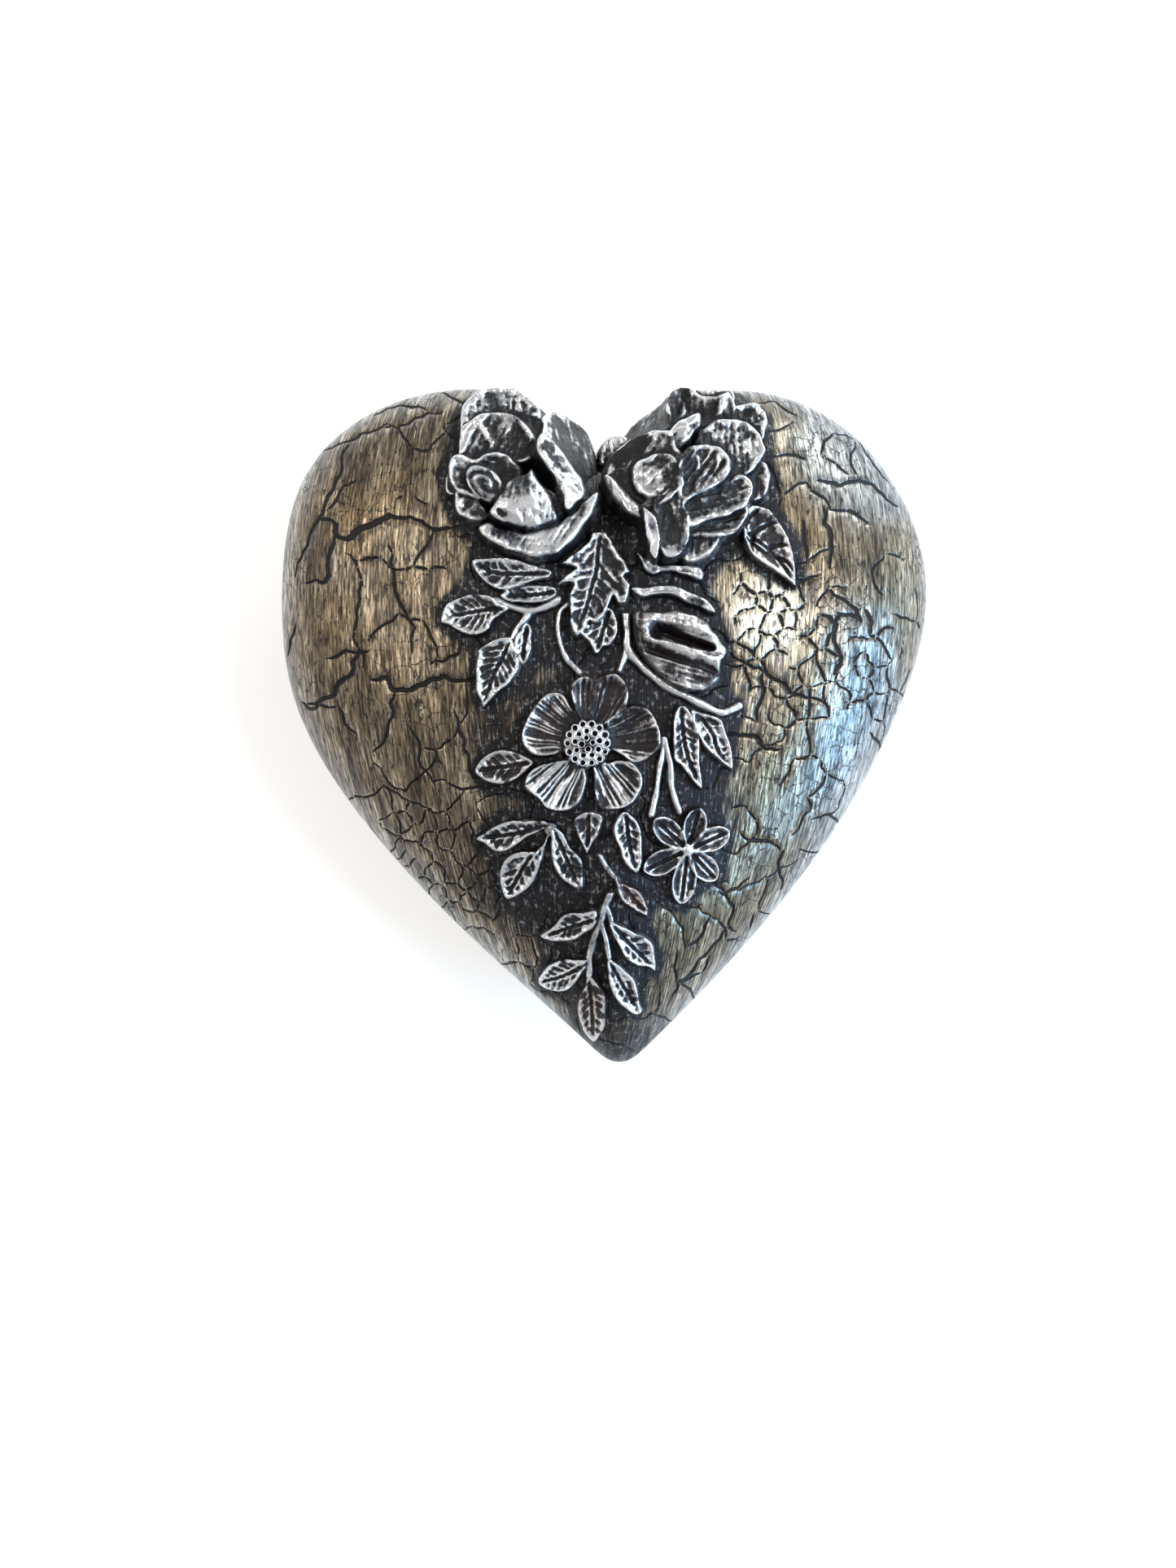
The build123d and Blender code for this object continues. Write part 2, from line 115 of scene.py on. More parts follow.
def ringed_piece(name, rings, closed_loop=False):
    """Joins rings of points into a skin; without a closed loop, each end is capped at the axis."""
    rows = len(rings)
    points = [tuple(point) for ring in rings for point in ring]
    faces = []
    for row in range(rows if closed_loop else rows - 1):
        here = row * rim_turns
        above = (row + 1) % rows * rim_turns
        for turn in range(rim_turns):
            on = (turn + 1) % rim_turns
            faces.append((here + turn, here + on, above + on, above + turn))
    if not closed_loop:
        for row, flip in ((0, True), (rows - 1, False)):
            ring = rings[row]
            points.append((heart_axis.x, heart_axis.y, float(ring[:, 2].mean())))
            for turn in range(rim_turns):
                edge = [row * rim_turns + turn, row * rim_turns + (turn + 1) % rim_turns]
                faces.append((len(points) - 1, *(edge[::-1] if flip else edge)))
    return new_piece(name, points, faces)


def feed(tree, node, values):
    """Gives values to a node's inputs: a socket is linked, a constant is set."""
    for key, value in values.items():
        if isinstance(value, bpy.types.NodeSocket):
            tree.links.new(value, node.inputs[key])
        else:
            node.inputs[key].default_value = value


def add_node(tree, kind, values=None, **settings):
    """Adds one node with its settings, and feeds its inputs."""
    made = tree.nodes.new(kind)
    for key, value in settings.items():
        setattr(made, key, value)
    feed(tree, made, values or {})
    return made


def maths(tree, operation, first, second=0.0, clamp=False):
    return add_node(tree, "ShaderNodeMath", {0: first, 1: second}, operation=operation,
                    use_clamp=clamp).outputs[0]


def plus_share(tree, value, other, share):
    """A value plus a share of another."""
    return maths(tree, "ADD", value, maths(tree, "MULTIPLY", other, share))


def ease(tree, value, low, high, start=0.0, end=1.0):
    """A smooth step from start to end as the value goes from low to high."""
    return add_node(tree, "ShaderNodeMapRange", {0: value, 1: low, 2: high, 3: start, 4: end},
                    interpolation_type="SMOOTHSTEP").outputs[0]


def blend(tree, share, low, high, mode="MIX"):
    """A colour between two others."""
    return add_node(tree, "ShaderNodeMix", {0: share, 6: low, 7: high}, data_type="RGBA",
                    blend_type=mode).outputs[2]


def mottle(tree, where, size, detail=3.0, roughness=0.55):
    """Cloudy noise from 0 to 1 whose lumps are about size metres across."""
    return add_node(tree, "ShaderNodeTexNoise",
                    {"Vector": where, "Scale": 1.0 / size, "Detail": detail,
                     "Roughness": roughness}).outputs[0]


def stretched(tree, where, along):
    """Coordinates scaled per axis, so that a noise read with them is drawn out into streaks."""
    return add_node(tree, "ShaderNodeMapping", {"Vector": where, "Scale": along}).outputs[0]


def new_finish(name):
    """An empty material, its node tree and its Principled shader."""
    material = bpy.data.materials.new(name)
    material.use_nodes = True
    return material, material.node_tree, material.node_tree.nodes["Principled BSDF"]


def object_place(tree):
    return add_node(tree, "ShaderNodeTexCoord").outputs["Object"]


def attribute(tree, name):
    return add_node(tree, "ShaderNodeAttribute", attribute_name=name).outputs["Fac"]


def bump(tree, height, distance, strength=1.0, under=None):
    values = {"Height": height, "Distance": distance, "Strength": strength}
    if under is not None:
        values["Normal"] = under
    return add_node(tree, "ShaderNodeBump", values).outputs[0]


def new_group(name, inputs, outputs, kind="ShaderNodeTree"):
    """An empty node group with named sockets: its tree, its start node and its end node."""
    group = bpy.data.node_groups.new(name, kind)
    for side, sockets in (("INPUT", inputs), ("OUTPUT", outputs)):
        for socket, value in sockets.items():
            group.interface.new_socket(socket, in_out=side, socket_type="NodeSocket" + value)
    return group, add_node(group, "NodeGroupInput"), add_node(group, "NodeGroupOutput")


def pile_group():
    """Short pressed or standing pile: fibre height, and a cloudy tone where it lies over."""
    group, start, end = new_group(
        "pile", {"Position": "Vector", "Fibre Size": "Float", "Lie Size": "Float"},
        {"Fibre": "Float", "Lie": "Float"})
    for size, output in (("Fibre Size", "Fibre"), ("Lie Size", "Lie")):
        scale = maths(group, "DIVIDE", 1.0, start.outputs[size])
        noise = add_node(group, "ShaderNodeTexNoise",
                         {"Vector": start.outputs["Position"], "Scale": scale, "Detail": 3.0})
        group.links.new(noise.outputs[0], end.inputs[output])
    return group


pile = pile_group()


def pile_finish(name, dark, light, fibre_size, sheen):
    """A matt dyed cloth whose pile catches the light in clouds."""
    material, tree, shader = new_finish(name)
    where = object_place(tree)
    cloth = add_node(tree, "ShaderNodeGroup", node_tree=pile)
    feed(tree, cloth, {"Position": where, "Fibre Size": fibre_size, "Lie Size": 0.011})
    lie = ease(tree, cloth.outputs["Lie"], 0.35, 0.65)
    feed(tree, shader, {
        "Base Color": blend(tree, lie, dark, light),
        "Normal": bump(tree, cloth.outputs["Fibre"], 0.0003, 0.7),
        "Roughness": 0.95, "Sheen Weight": sheen, "Sheen Roughness": 0.4})
    return material


black_felt = pile_finish("black_felt", (0.010, 0.010, 0.011, 1), (0.022, 0.022, 0.024, 1),
                         0.00045, 0.25)
felt_tree = skin_of("base_felt")
felt_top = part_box("base_felt")[1].z * 1000
felt_middle = 0.6
felt_foot = ringed_piece("felt_foot", [
    heart_ring(felt_tree, felt_middle, lift=0.0, inset=0.25),
    heart_ring(felt_tree, felt_middle, lift=0.25),
    heart_ring(felt_tree, felt_middle, lift=felt_top - 0.1),
    heart_ring(felt_tree, felt_middle, lift=felt_top, inset=0.2)])
felt_foot.data.materials.append(black_felt)
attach(felt_foot, "base")
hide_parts("base_felt")


# ---- Base shell
# The lower half, a bowl-shaped casting in resin with a bored seat for the collar. It is painted
# black, then brushed with bronze and silver wax, which stays off the pits and hairline cracks.

def streak_group():
    """Brush marks drawn out along the second coordinate: fine bristle lines and broad bands."""
    group, start, end = new_group("brush_streaks", {"Grain": "Vector", "Bristle": "Float"},
                                  {"Fine": "Float", "Broad": "Float", "Dash": "Float"})
    scale = maths(group, "DIVIDE", 1.0, start.outputs["Bristle"])
    for output, stretch, detail, roughness in (("Fine", (1.0, 0.085, 1.0), 4.0, 0.62),
                                               ("Broad", (0.16, 0.02, 1.0), 4.0, 0.6),
                                               ("Dash", (0.75, 0.16, 1.0), 2.0, 0.5)):
        drawn = stretched(group, start.outputs["Grain"], stretch)
        noise = add_node(group, "ShaderNodeTexNoise",
                         {"Vector": drawn, "Scale": scale, "Detail": detail,
                          "Roughness": roughness})
        group.links.new(noise.outputs[0], end.inputs[output])
    return group


def crackle_group():
    """Hairline cracks between cells of paint: 1 in a crack and 0 away from it."""
    group, start, end = new_group(
        "hairline_crackle", {"Position": "Vector", "Cell Size": "Float", "Width": "Float"},
        {"Crack": "Float"})
    scale = maths(group, "DIVIDE", 1.0, start.outputs["Cell Size"])
    wander = add_node(group, "ShaderNodeTexNoise",
                      {"Vector": start.outputs["Position"], "Scale": 900.0, "Detail": 3.0})
    shift = add_node(group, "ShaderNodeVectorMath", {0: wander.outputs[1], 1: (0.5, 0.5, 0.5)},
                     operation="SUBTRACT")
    small = add_node(group, "ShaderNodeVectorMath", {0: shift.outputs[0]}, operation="SCALE")
    small.inputs["Scale"].default_value = 0.0016
    moved = add_node(group, "ShaderNodeVectorMath",
                     {0: start.outputs["Position"], 1: small.outputs[0]}, operation="ADD")
    cells = add_node(group, "ShaderNodeTexVoronoi", {"Vector": moved.outputs[0], "Scale": scale},
                     feature="DISTANCE_TO_EDGE")
    patchy = add_node(group, "ShaderNodeTexNoise",
                      {"Vector": start.outputs["Position"], "Scale": 70.0, "Detail": 1.0})
    width = maths(group, "MULTIPLY", start.outputs["Width"],
                  ease(group, patchy.outputs[0], 0.42, 0.62))
    crack = add_node(group, "ShaderNodeMapRange",
                     {0: cells.outputs["Distance"], 1: 0.0, 2: width, 3: 1.0, 4: 0.0})
    group.links.new(crack.outputs[0], end.inputs["Crack"])
    return group


brush_streaks = streak_group()
hairline_crackle = crackle_group()


def tone_ramp(tree, value, tones):
    """A colour read off a run of tones, each with its place from 0 to 1."""
    ramp = add_node(tree, "ShaderNodeValToRGB", {0: value})
    stops = ramp.color_ramp.elements
    while len(stops) < len(tones):
        stops.new(0.5)
    for stop, (place, tone) in zip(stops, tones):
        stop.position = place
        stop.color = tone
    return ramp.outputs[0]


def aged_bronze_finish(name):
    """Bronze and silver wax brushed over black, read from the skin's own grain map and masks.

    Masks on the skin: silver_and_painted_light (silvered towards the outline, with patches that
    paint a reflection, a sheen and a shade on the right lobe), gold_and_painted_highlight (warm
    patches that also paint highlights), cream_and_painted_highlight (thick pale wax, one patch of
    it a painted highlight), crack (0 to 1 across a crack) and wash_and_painted_shade (black wash
    round the castings, with patches of painted shade at the tip and the left)."""
    material, tree, shader = new_finish(name)
    where = object_place(tree)
    grain = add_node(tree, "ShaderNodeUVMap", uv_map="grain").outputs[0]
    marks = add_node(tree, "ShaderNodeGroup", {"Grain": grain, "Bristle": 0.44},
                     node_tree=brush_streaks)
    hair = add_node(tree, "ShaderNodeGroup",
                    {"Position": where, "Cell Size": 0.0042, "Width": 0.030},
                    node_tree=hairline_crackle)
    silver_and_painted_light = attribute(tree, "silver_and_painted_light")
    gold_and_painted_highlight = attribute(tree, "gold_and_painted_highlight")
    cream_and_painted_highlight = attribute(tree, "cream_and_painted_highlight")
    crack = attribute(tree, "crack")
    wash_and_painted_shade = attribute(tree, "wash_and_painted_shade")
    cloud = mottle(tree, where, 0.014, 4.0)
    speck = mottle(tree, where, 0.0011, 2.0)

    fine = marks.outputs["Fine"]
    broad = marks.outputs["Broad"]
    dash = marks.outputs["Dash"]
    worn = plus_share(tree, maths(tree, "MULTIPLY", fine, 0.60), broad, 0.40)
    bronze = tone_ramp(tree, worn, (
        (0.380, (0.018, 0.014, 0.010, 1)), (0.450, (0.080, 0.061, 0.040, 1)),
        (0.505, (0.185, 0.145, 0.096, 1)), (0.560, (0.320, 0.262, 0.180, 1)),
        (0.640, (0.700, 0.620, 0.480, 1))))
    grey = tone_ramp(tree, worn, (
        (0.380, (0.030, 0.029, 0.028, 1)), (0.450, (0.120, 0.118, 0.113, 1)),
        (0.510, (0.235, 0.233, 0.226, 1)), (0.575, (0.390, 0.390, 0.388, 1)),
        (0.650, (0.680, 0.685, 0.690, 1))))
    # The silvering share, which on the lid's right lobe also carries painted reflection, sheen and
    # shade.
    silver_and_light_share = ease(tree, plus_share(tree, silver_and_painted_light, cloud, 0.5), 0.45, 1.0)
    wax = blend(tree, silver_and_light_share, bronze, grey)
    # A lighter, warmer tone of the wax, which paints warm highlights where the gilded patches are.
    gilt_and_highlight_tone = blend(tree, 1.0, wax, (1.40, 1.20, 0.90, 1), "MULTIPLY")
    gilded_and_highlit = maths(tree, "MULTIPLY", gold_and_painted_highlight, ease(tree, cloud, 0.3, 0.6))
    wax = blend(tree, maths(tree, "MULTIPLY", gilded_and_highlit, 0.8), wax, gilt_and_highlight_tone)
    # Pale wax in streaks, which on the left lobe paints a highlight.
    pale_wax_and_highlight = ease(tree, plus_share(tree, cream_and_painted_highlight, fine, 0.6), 0.66, 1.10)
    wax = blend(tree, pale_wax_and_highlight, wax, (0.640, 0.570, 0.440, 1))
    pits = ease(tree, dash, 0.565, 0.625)
    wax = blend(tree, maths(tree, "MULTIPLY", pits, 0.85), wax, (0.018, 0.015, 0.012, 1))
    # Soot over 1 is the plain black inside, which takes hardly any brush marks and flecks.
    brushed = ease(tree, wash_and_painted_shade, 1.05, 1.25, 1.0, 0.05)
    fleck = ease(tree, plus_share(tree, speck, fine, 0.8), 0.96, 1.16)
    fleck = maths(tree, "MULTIPLY", fleck, brushed)
    sooty = blend(tree, maths(tree, "MULTIPLY", ease(tree, worn, 0.48, 0.66, 0.0, 0.55), brushed),
                  (0.007, 0.006, 0.008, 1), (0.052, 0.050, 0.052, 1))
    sooty = blend(tree, fleck, sooty, (0.200, 0.198, 0.205, 1))
    # The black wash, which on the lid's tip and left side also paints shade.
    wash_and_shade_share = ease(tree, plus_share(tree, wash_and_painted_shade, fine, -0.55), -0.10, 0.42)
    wax = blend(tree, wash_and_shade_share, wax, sooty)
    groove = maths(tree, "MAXIMUM", crack,
                   maths(tree, "MULTIPLY", hair.outputs["Crack"], 0.6))
    groove_edge = ease(tree, groove, 0.12, 0.55)

    covered = maths(tree, "MAXIMUM", groove_edge, wash_and_shade_share)
    lines = bump(tree, worn, 0.00022, 0.8)
    dents = bump(tree, pits, -0.00010, 0.7, lines)
    feed(tree, shader, {
        "Base Color": blend(tree, groove_edge, wax, (0.010, 0.009, 0.009, 1)),
        "Metallic": ease(tree, covered, 0.0, 1.0, 0.70, 0.0),
        "Roughness": plus_share(tree, ease(tree, worn, 0.40, 0.60, 0.46, 0.28), covered, 0.14),
        "Coat Weight": ease(tree, covered, 0.0, 1.0, 0.35, 0.0),
        "Coat Roughness": 0.20, "Specular IOR Level": 0.25,
        "Normal": bump(tree, groove, -0.00035, 0.9, dents)})
    return material


aged_bronze = aged_bronze_finish("aged_bronze")


def set_mask(piece, name, values):
    """Stores one number for each vertex of a piece."""
    layer = piece.data.attributes.new(name, "FLOAT", "POINT")
    layer.data.foreach_set("value", np.asarray(values, dtype=np.float32))


def set_grain(piece, across, along):
    """Stores the direction of the brush marks as a UV map, in millimetres."""
    layer = piece.data.uv_layers.new(name="grain")
    corners = np.zeros(len(piece.data.loops), dtype=np.int32)
    piece.data.loops.foreach_get("vertex_index", corners)
    pairs = np.stack([np.asarray(across)[corners], np.asarray(along)[corners]], axis=1)
    layer.data.foreach_set("uv", pairs.astype(np.float32).ravel())


base_tree = skin_of("base_shell")
foot_height, rim_height = (corner.z * 1000 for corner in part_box("base_shell"))
seat_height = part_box("base_collar")[0].z * 1000
floor_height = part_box("floor_pad")[0].z * 1000
base_rings = [heart_ring(base_tree, foot_height + 0.5, lift=foot_height, inset=1.2)]
for share in (0.004, 0.03, 0.08, 0.16, 0.26, 0.36, 0.47, 0.58, 0.69, 0.80, 0.90, 0.965):
    base_rings.append(heart_ring(base_tree, foot_height + share * (rim_height - foot_height)))
brim = len(base_rings) + 1
first_inside = brim + 2
base_rings += [
    heart_ring(base_tree, rim_height - 0.4, lift=rim_height - 0.35),
    heart_ring(base_tree, rim_height - 0.4, lift=rim_height, inset=0.35),
    heart_ring(base_tree, rim_height - 1.0, "inner", lift=rim_height, inset=-0.3),
    heart_ring(base_tree, rim_height - 1.0, "inner", lift=rim_height - 0.3),
    heart_ring(base_tree, seat_height + 1.0, "inner", lift=seat_height),
    heart_ring(base_tree, seat_height - 0.4, "inner", lift=seat_height),
    heart_ring(base_tree, seat_height - 3.0, "inner"),
    heart_ring(base_tree, seat_height - 7.0, "inner"),
    heart_ring(base_tree, floor_height + 1.5, "inner"),
    heart_ring(base_tree, floor_height + 0.5, "inner", lift=floor_height)]
base_bowl = ringed_piece("base_bowl", base_rings)

# The brush ran round the heart, so its marks are long round the bowl and short up its side.
base_places = np.array([vertex.co for vertex in base_bowl.data.vertices]) * 1000
base_x = base_places[:, 0] - heart_axis.x
base_y = base_places[:, 1] - heart_axis.y
base_level = base_places[:, 2]
rim_reach = 72.0
base_round = np.arctan2(base_x, -base_y) * rim_reach
ring_reach = np.hypot(base_x, base_y)[:len(base_rings) * rim_turns].reshape(-1, rim_turns)
inward = np.clip(ring_reach[brim] - ring_reach, 0, None)
inward[:brim] = 0
across_base = base_level * 1.4
across_base[:inward.size] += inward.ravel()
set_grain(base_bowl, across_base, base_round)
set_mask(base_bowl, "silver_and_painted_light", 0.35 + 0.2 * np.sin(base_round / 23.0))
set_mask(base_bowl, "gold_and_painted_highlight", np.clip(np.sin(base_round / 31.0 + 1.0), 0, 1) * 0.5)
set_mask(base_bowl, "cream_and_painted_highlight", np.zeros(len(base_places)))
set_mask(base_bowl, "crack", np.zeros(len(base_places)))
inside_bowl = np.arange(len(base_places)) >= first_inside * rim_turns
# The outside darkens towards the foot; the inside is plain black paint.
low_down = np.clip((foot_height + 3.0 - base_level) / 6.0, 0, 0.35)
inside_soot = 1.3
set_mask(base_bowl, "wash_and_painted_shade", np.where(inside_bowl, inside_soot, low_down))
base_bowl.data.materials.append(aged_bronze)
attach(base_bowl, "base")
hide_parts("base_shell")


# ---- Locating collar
# A thin heart-shaped band of bare dark resin glued into the base's bored seat. It stands above
# the rim and its chamfered edge guides the lid on.

def bare_resin_finish():
    """Unpainted charcoal resin with faint mould flow and fine scratches from the lid."""
    material, tree, shader = new_finish("bare_resin")
    where = object_place(tree)
    flow = mottle(tree, where, 0.009, 4.0)
    rub = mottle(tree, stretched(tree, where, (1.0, 1.0, 0.12)), 0.0006, 2.0)
    scuff = ease(tree, rub, 0.60, 0.72)
    charcoal = blend(tree, flow, (0.018, 0.018, 0.020, 1), (0.040, 0.040, 0.043, 1))
    feed(tree, shader, {
        "Base Color": blend(tree, maths(tree, "MULTIPLY", scuff, 0.5), charcoal,
                            (0.110, 0.108, 0.105, 1)),
        "Roughness": ease(tree, flow, 0.3, 0.7, 0.42, 0.58),
        "Normal": bump(tree, rub, 0.00008, 0.6)})
    return material


collar_tree = skin_of("base_collar")
collar_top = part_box("base_collar")[1].z * 1000
chamfer = 0.8
collar_band = ringed_piece("collar_band", [
    heart_ring(collar_tree, rim_height, lift=seat_height),
    heart_ring(collar_tree, rim_height),
    heart_ring(collar_tree, rim_height, lift=collar_top - chamfer),
    heart_ring(collar_tree, rim_height, lift=collar_top - 0.08, inset=chamfer - 0.08),
    heart_ring(collar_tree, rim_height, lift=collar_top, inset=chamfer + 0.1),
    heart_ring(collar_tree, rim_height, "inner", lift=collar_top, inset=-0.25),
    heart_ring(collar_tree, rim_height, "inner", lift=collar_top - 0.25),
    heart_ring(collar_tree, rim_height, "inner", lift=seat_height)], closed_loop=True)
collar_band.data.materials.append(bare_resin_finish())
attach(collar_band, "base")
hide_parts("base_collar")


# ---- Floor pad
# A heart of card wrapped in thin wadding and black velvet, pushed into the bottom of the bowl.
# The velvet is drawn over the edge, so the pad is crowned and puckers a little near its rim.

pad_tree = skin_of("floor_pad")
pad_bottom, pad_top = (corner.z * 1000 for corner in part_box("floor_pad"))
pad_thickness = pad_top - pad_bottom
pad_outline = heart_ring(pad_tree, pad_bottom + 0.6, spread=2.2)
pad_rings = [pad_outline * (1, 1, 0) + (0, 0, pad_bottom)]
pad_steps = (1.0, 0.992, 0.975, 0.95, 0.92, 0.88, 0.83, 0.77, 0.70, 0.62, 0.53, 0.44, 0.35, 0.26,
             0.17, 0.08)
folds = np.sin(turn_angles * 61) * np.sin(turn_angles * 23 + 1.3)
for share in pad_steps:
    ring = pad_outline.copy()
    ring[:, 0] = heart_axis.x + (pad_outline[:, 0] - heart_axis.x) * share
    ring[:, 1] = heart_axis.y + (pad_outline[:, 1] - heart_axis.y) * share
    edge = 1 - share
    crown = (1 - math.exp(-edge / 0.022)) * 0.80 + 0.20 * (1 - share ** 2)
    pucker = 0.16 * math.exp(-((edge - 0.035) / 0.035) ** 2)
    ring[:, 2] = pad_bottom + 0.35 + (pad_thickness - 0.37) * crown - pucker * (0.6 + 0.4 * folds)
    pad_rings.append(ring)
velvet_pad = ringed_piece("velvet_pad", pad_rings)
velvet_pad.data.materials.append(pile_finish("black_velvet", (0.007, 0.007, 0.009, 1),
                                             (0.020, 0.020, 0.024, 1), 0.0003, 0.8))
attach(velvet_pad, "base")
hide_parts("floor_pad")


# ---- Lid shell
# The hollow domed upper half, cast in the same resin. Its thick bronze wax has cracked: wide
# sparse cracks on the left lobe, a close net below the right rose and along the lower edges.

lid_tree = skin_of("lid_shell")
lid_low, lid_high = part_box("lid_shell")
lid_middle = (lid_low + lid_high) * 500
skin_steps = 72
skin_size = 76.0


def cast_lid(face):
    """Distances from the heart's axis at rim height to one face of the lid, by turn and tilt."""
    start = Vector((heart_axis.x, heart_axis.y, rim_height))
    reach = np.zeros((rim_turns, skin_steps + 1))
    for turn in range(rim_turns):
        angle = 2 * math.pi * turn / rim_turns
        for step in range(skin_steps + 1):
            tilt = max(0.5 * math.pi * step / skin_steps, 0.012)
            away = Vector((math.cos(angle) * math.cos(tilt), math.sin(angle) * math.cos(tilt),
                           math.sin(tilt)))
            reach[turn, step] = face_distance(lid_tree, start, away, face)
    reach = smooth_round(reach, 1.2)
    padded = np.concatenate([reach[:, :1], reach, reach[:, -1:]], axis=1)
    return 0.25 * padded[:, :-2] + 0.5 * padded[:, 1:-1] + 0.25 * padded[:, 2:]


outer_reach = cast_lid("outer")
inner_reach = cast_lid("inner")


def across_cell(u, v, corners):
    """Mixes the values at a cell's four corners; u and v go from 0 to 1 across it."""
    return ((1 - u) * (1 - v) * corners[0] + u * (1 - v) * corners[1]
            + (1 - u) * v * corners[2] + u * v * corners[3])


def read_reach(reach, turn, tilt):
    """Reads a cast face between its samples; turn and tilt are in radians."""
    across = np.mod(turn, 2 * math.pi) / (2 * math.pi) * rim_turns
    up = np.clip(tilt / (0.5 * math.pi) * skin_steps, 0, skin_steps - 1e-6)
    a = np.floor(across).astype(int) % rim_turns
    b = np.floor(up).astype(int)
    c = (a + 1) % rim_turns
    return across_cell(across - np.floor(across), up - b,
                       (reach[a, b], reach[c, b], reach[a, b + 1], reach[c, b + 1]))


def on_skin(sheet, reach, sink=0.0):
    """Points on a lid face from places on the flattened skin, whose middle is the crown."""
    turn = np.arctan2(sheet[:, 1], sheet[:, 0])
    tilt = 0.5 * math.pi * (1 - np.clip(np.hypot(sheet[:, 0], sheet[:, 1]) / skin_size, 0, 1))
    far = read_reach(reach, turn, tilt) - sink
    return np.stack([heart_axis.x + far * np.cos(tilt) * np.cos(turn),
                     heart_axis.y + far * np.cos(tilt) * np.sin(turn),
                     rim_height + far * np.sin(tilt)], axis=1)


ground_step = 1.0
ground_x = np.arange(lid_low.x * 1000 - 3, lid_high.x * 1000 + 3, ground_step)
ground_y = np.arange(lid_low.y * 1000 - 3, lid_high.y * 1000 + 3, ground_step)
ground = np.full((len(ground_y), len(ground_x)), rim_height)
for row, y in enumerate(ground_y):
    for column, x in enumerate(ground_x):
        spot = lid_tree.ray_cast(Vector((x, y, 200)), Vector((0, 0, -1)))[0]
        if spot is not None:
            ground[row, column] = spot.z


def soften(field, spread):
    """The field blurred by a Gaussian spread cells wide, with its edges repeated."""
    reach = int(math.ceil(2.6 * spread))
    weights = np.exp(-0.5 * (np.arange(-reach, reach + 1) / spread) ** 2)
    weights = weights / weights.sum()
    for axis in (0, 1):
        margin = [(0, 0), (0, 0)]
        margin[axis] = (reach, reach)
        padded = np.pad(field, margin, mode="edge")
        length = field.shape[axis]
        field = sum(weight * np.take(padded, range(i, i + length), axis=axis)
                    for i, weight in enumerate(weights))
    return field


def read_grid(field, x, y):
    """Reads a field that is laid out like the ground, between its samples."""
    across = np.clip((x - ground_x[0]) / ground_step, 0, len(ground_x) - 1.001)
    up = np.clip((y - ground_y[0]) / ground_step, 0, len(ground_y) - 1.001)
    a = np.floor(across).astype(int)
    b = np.floor(up).astype(int)
    return across_cell(across - a, up - b, (field[b, a], field[b, a + 1],
                                            field[b + 1, a], field[b + 1, a + 1]))


ground = soften(ground, 0.9)


def flattened(x, y):
    """The place on the flattened skin of a point seen from above."""
    height = read_grid(ground, x, y) - rim_height
    run = np.hypot(x - heart_axis.x, y - heart_axis.y)
    tilt = np.arctan2(np.maximum(height, 0), run)
    turn = np.arctan2(y - heart_axis.y, x - heart_axis.x)
    far = skin_size * (1 - tilt / (0.5 * math.pi))
    return np.stack([far * np.cos(turn), far * np.sin(turn)], axis=-1)


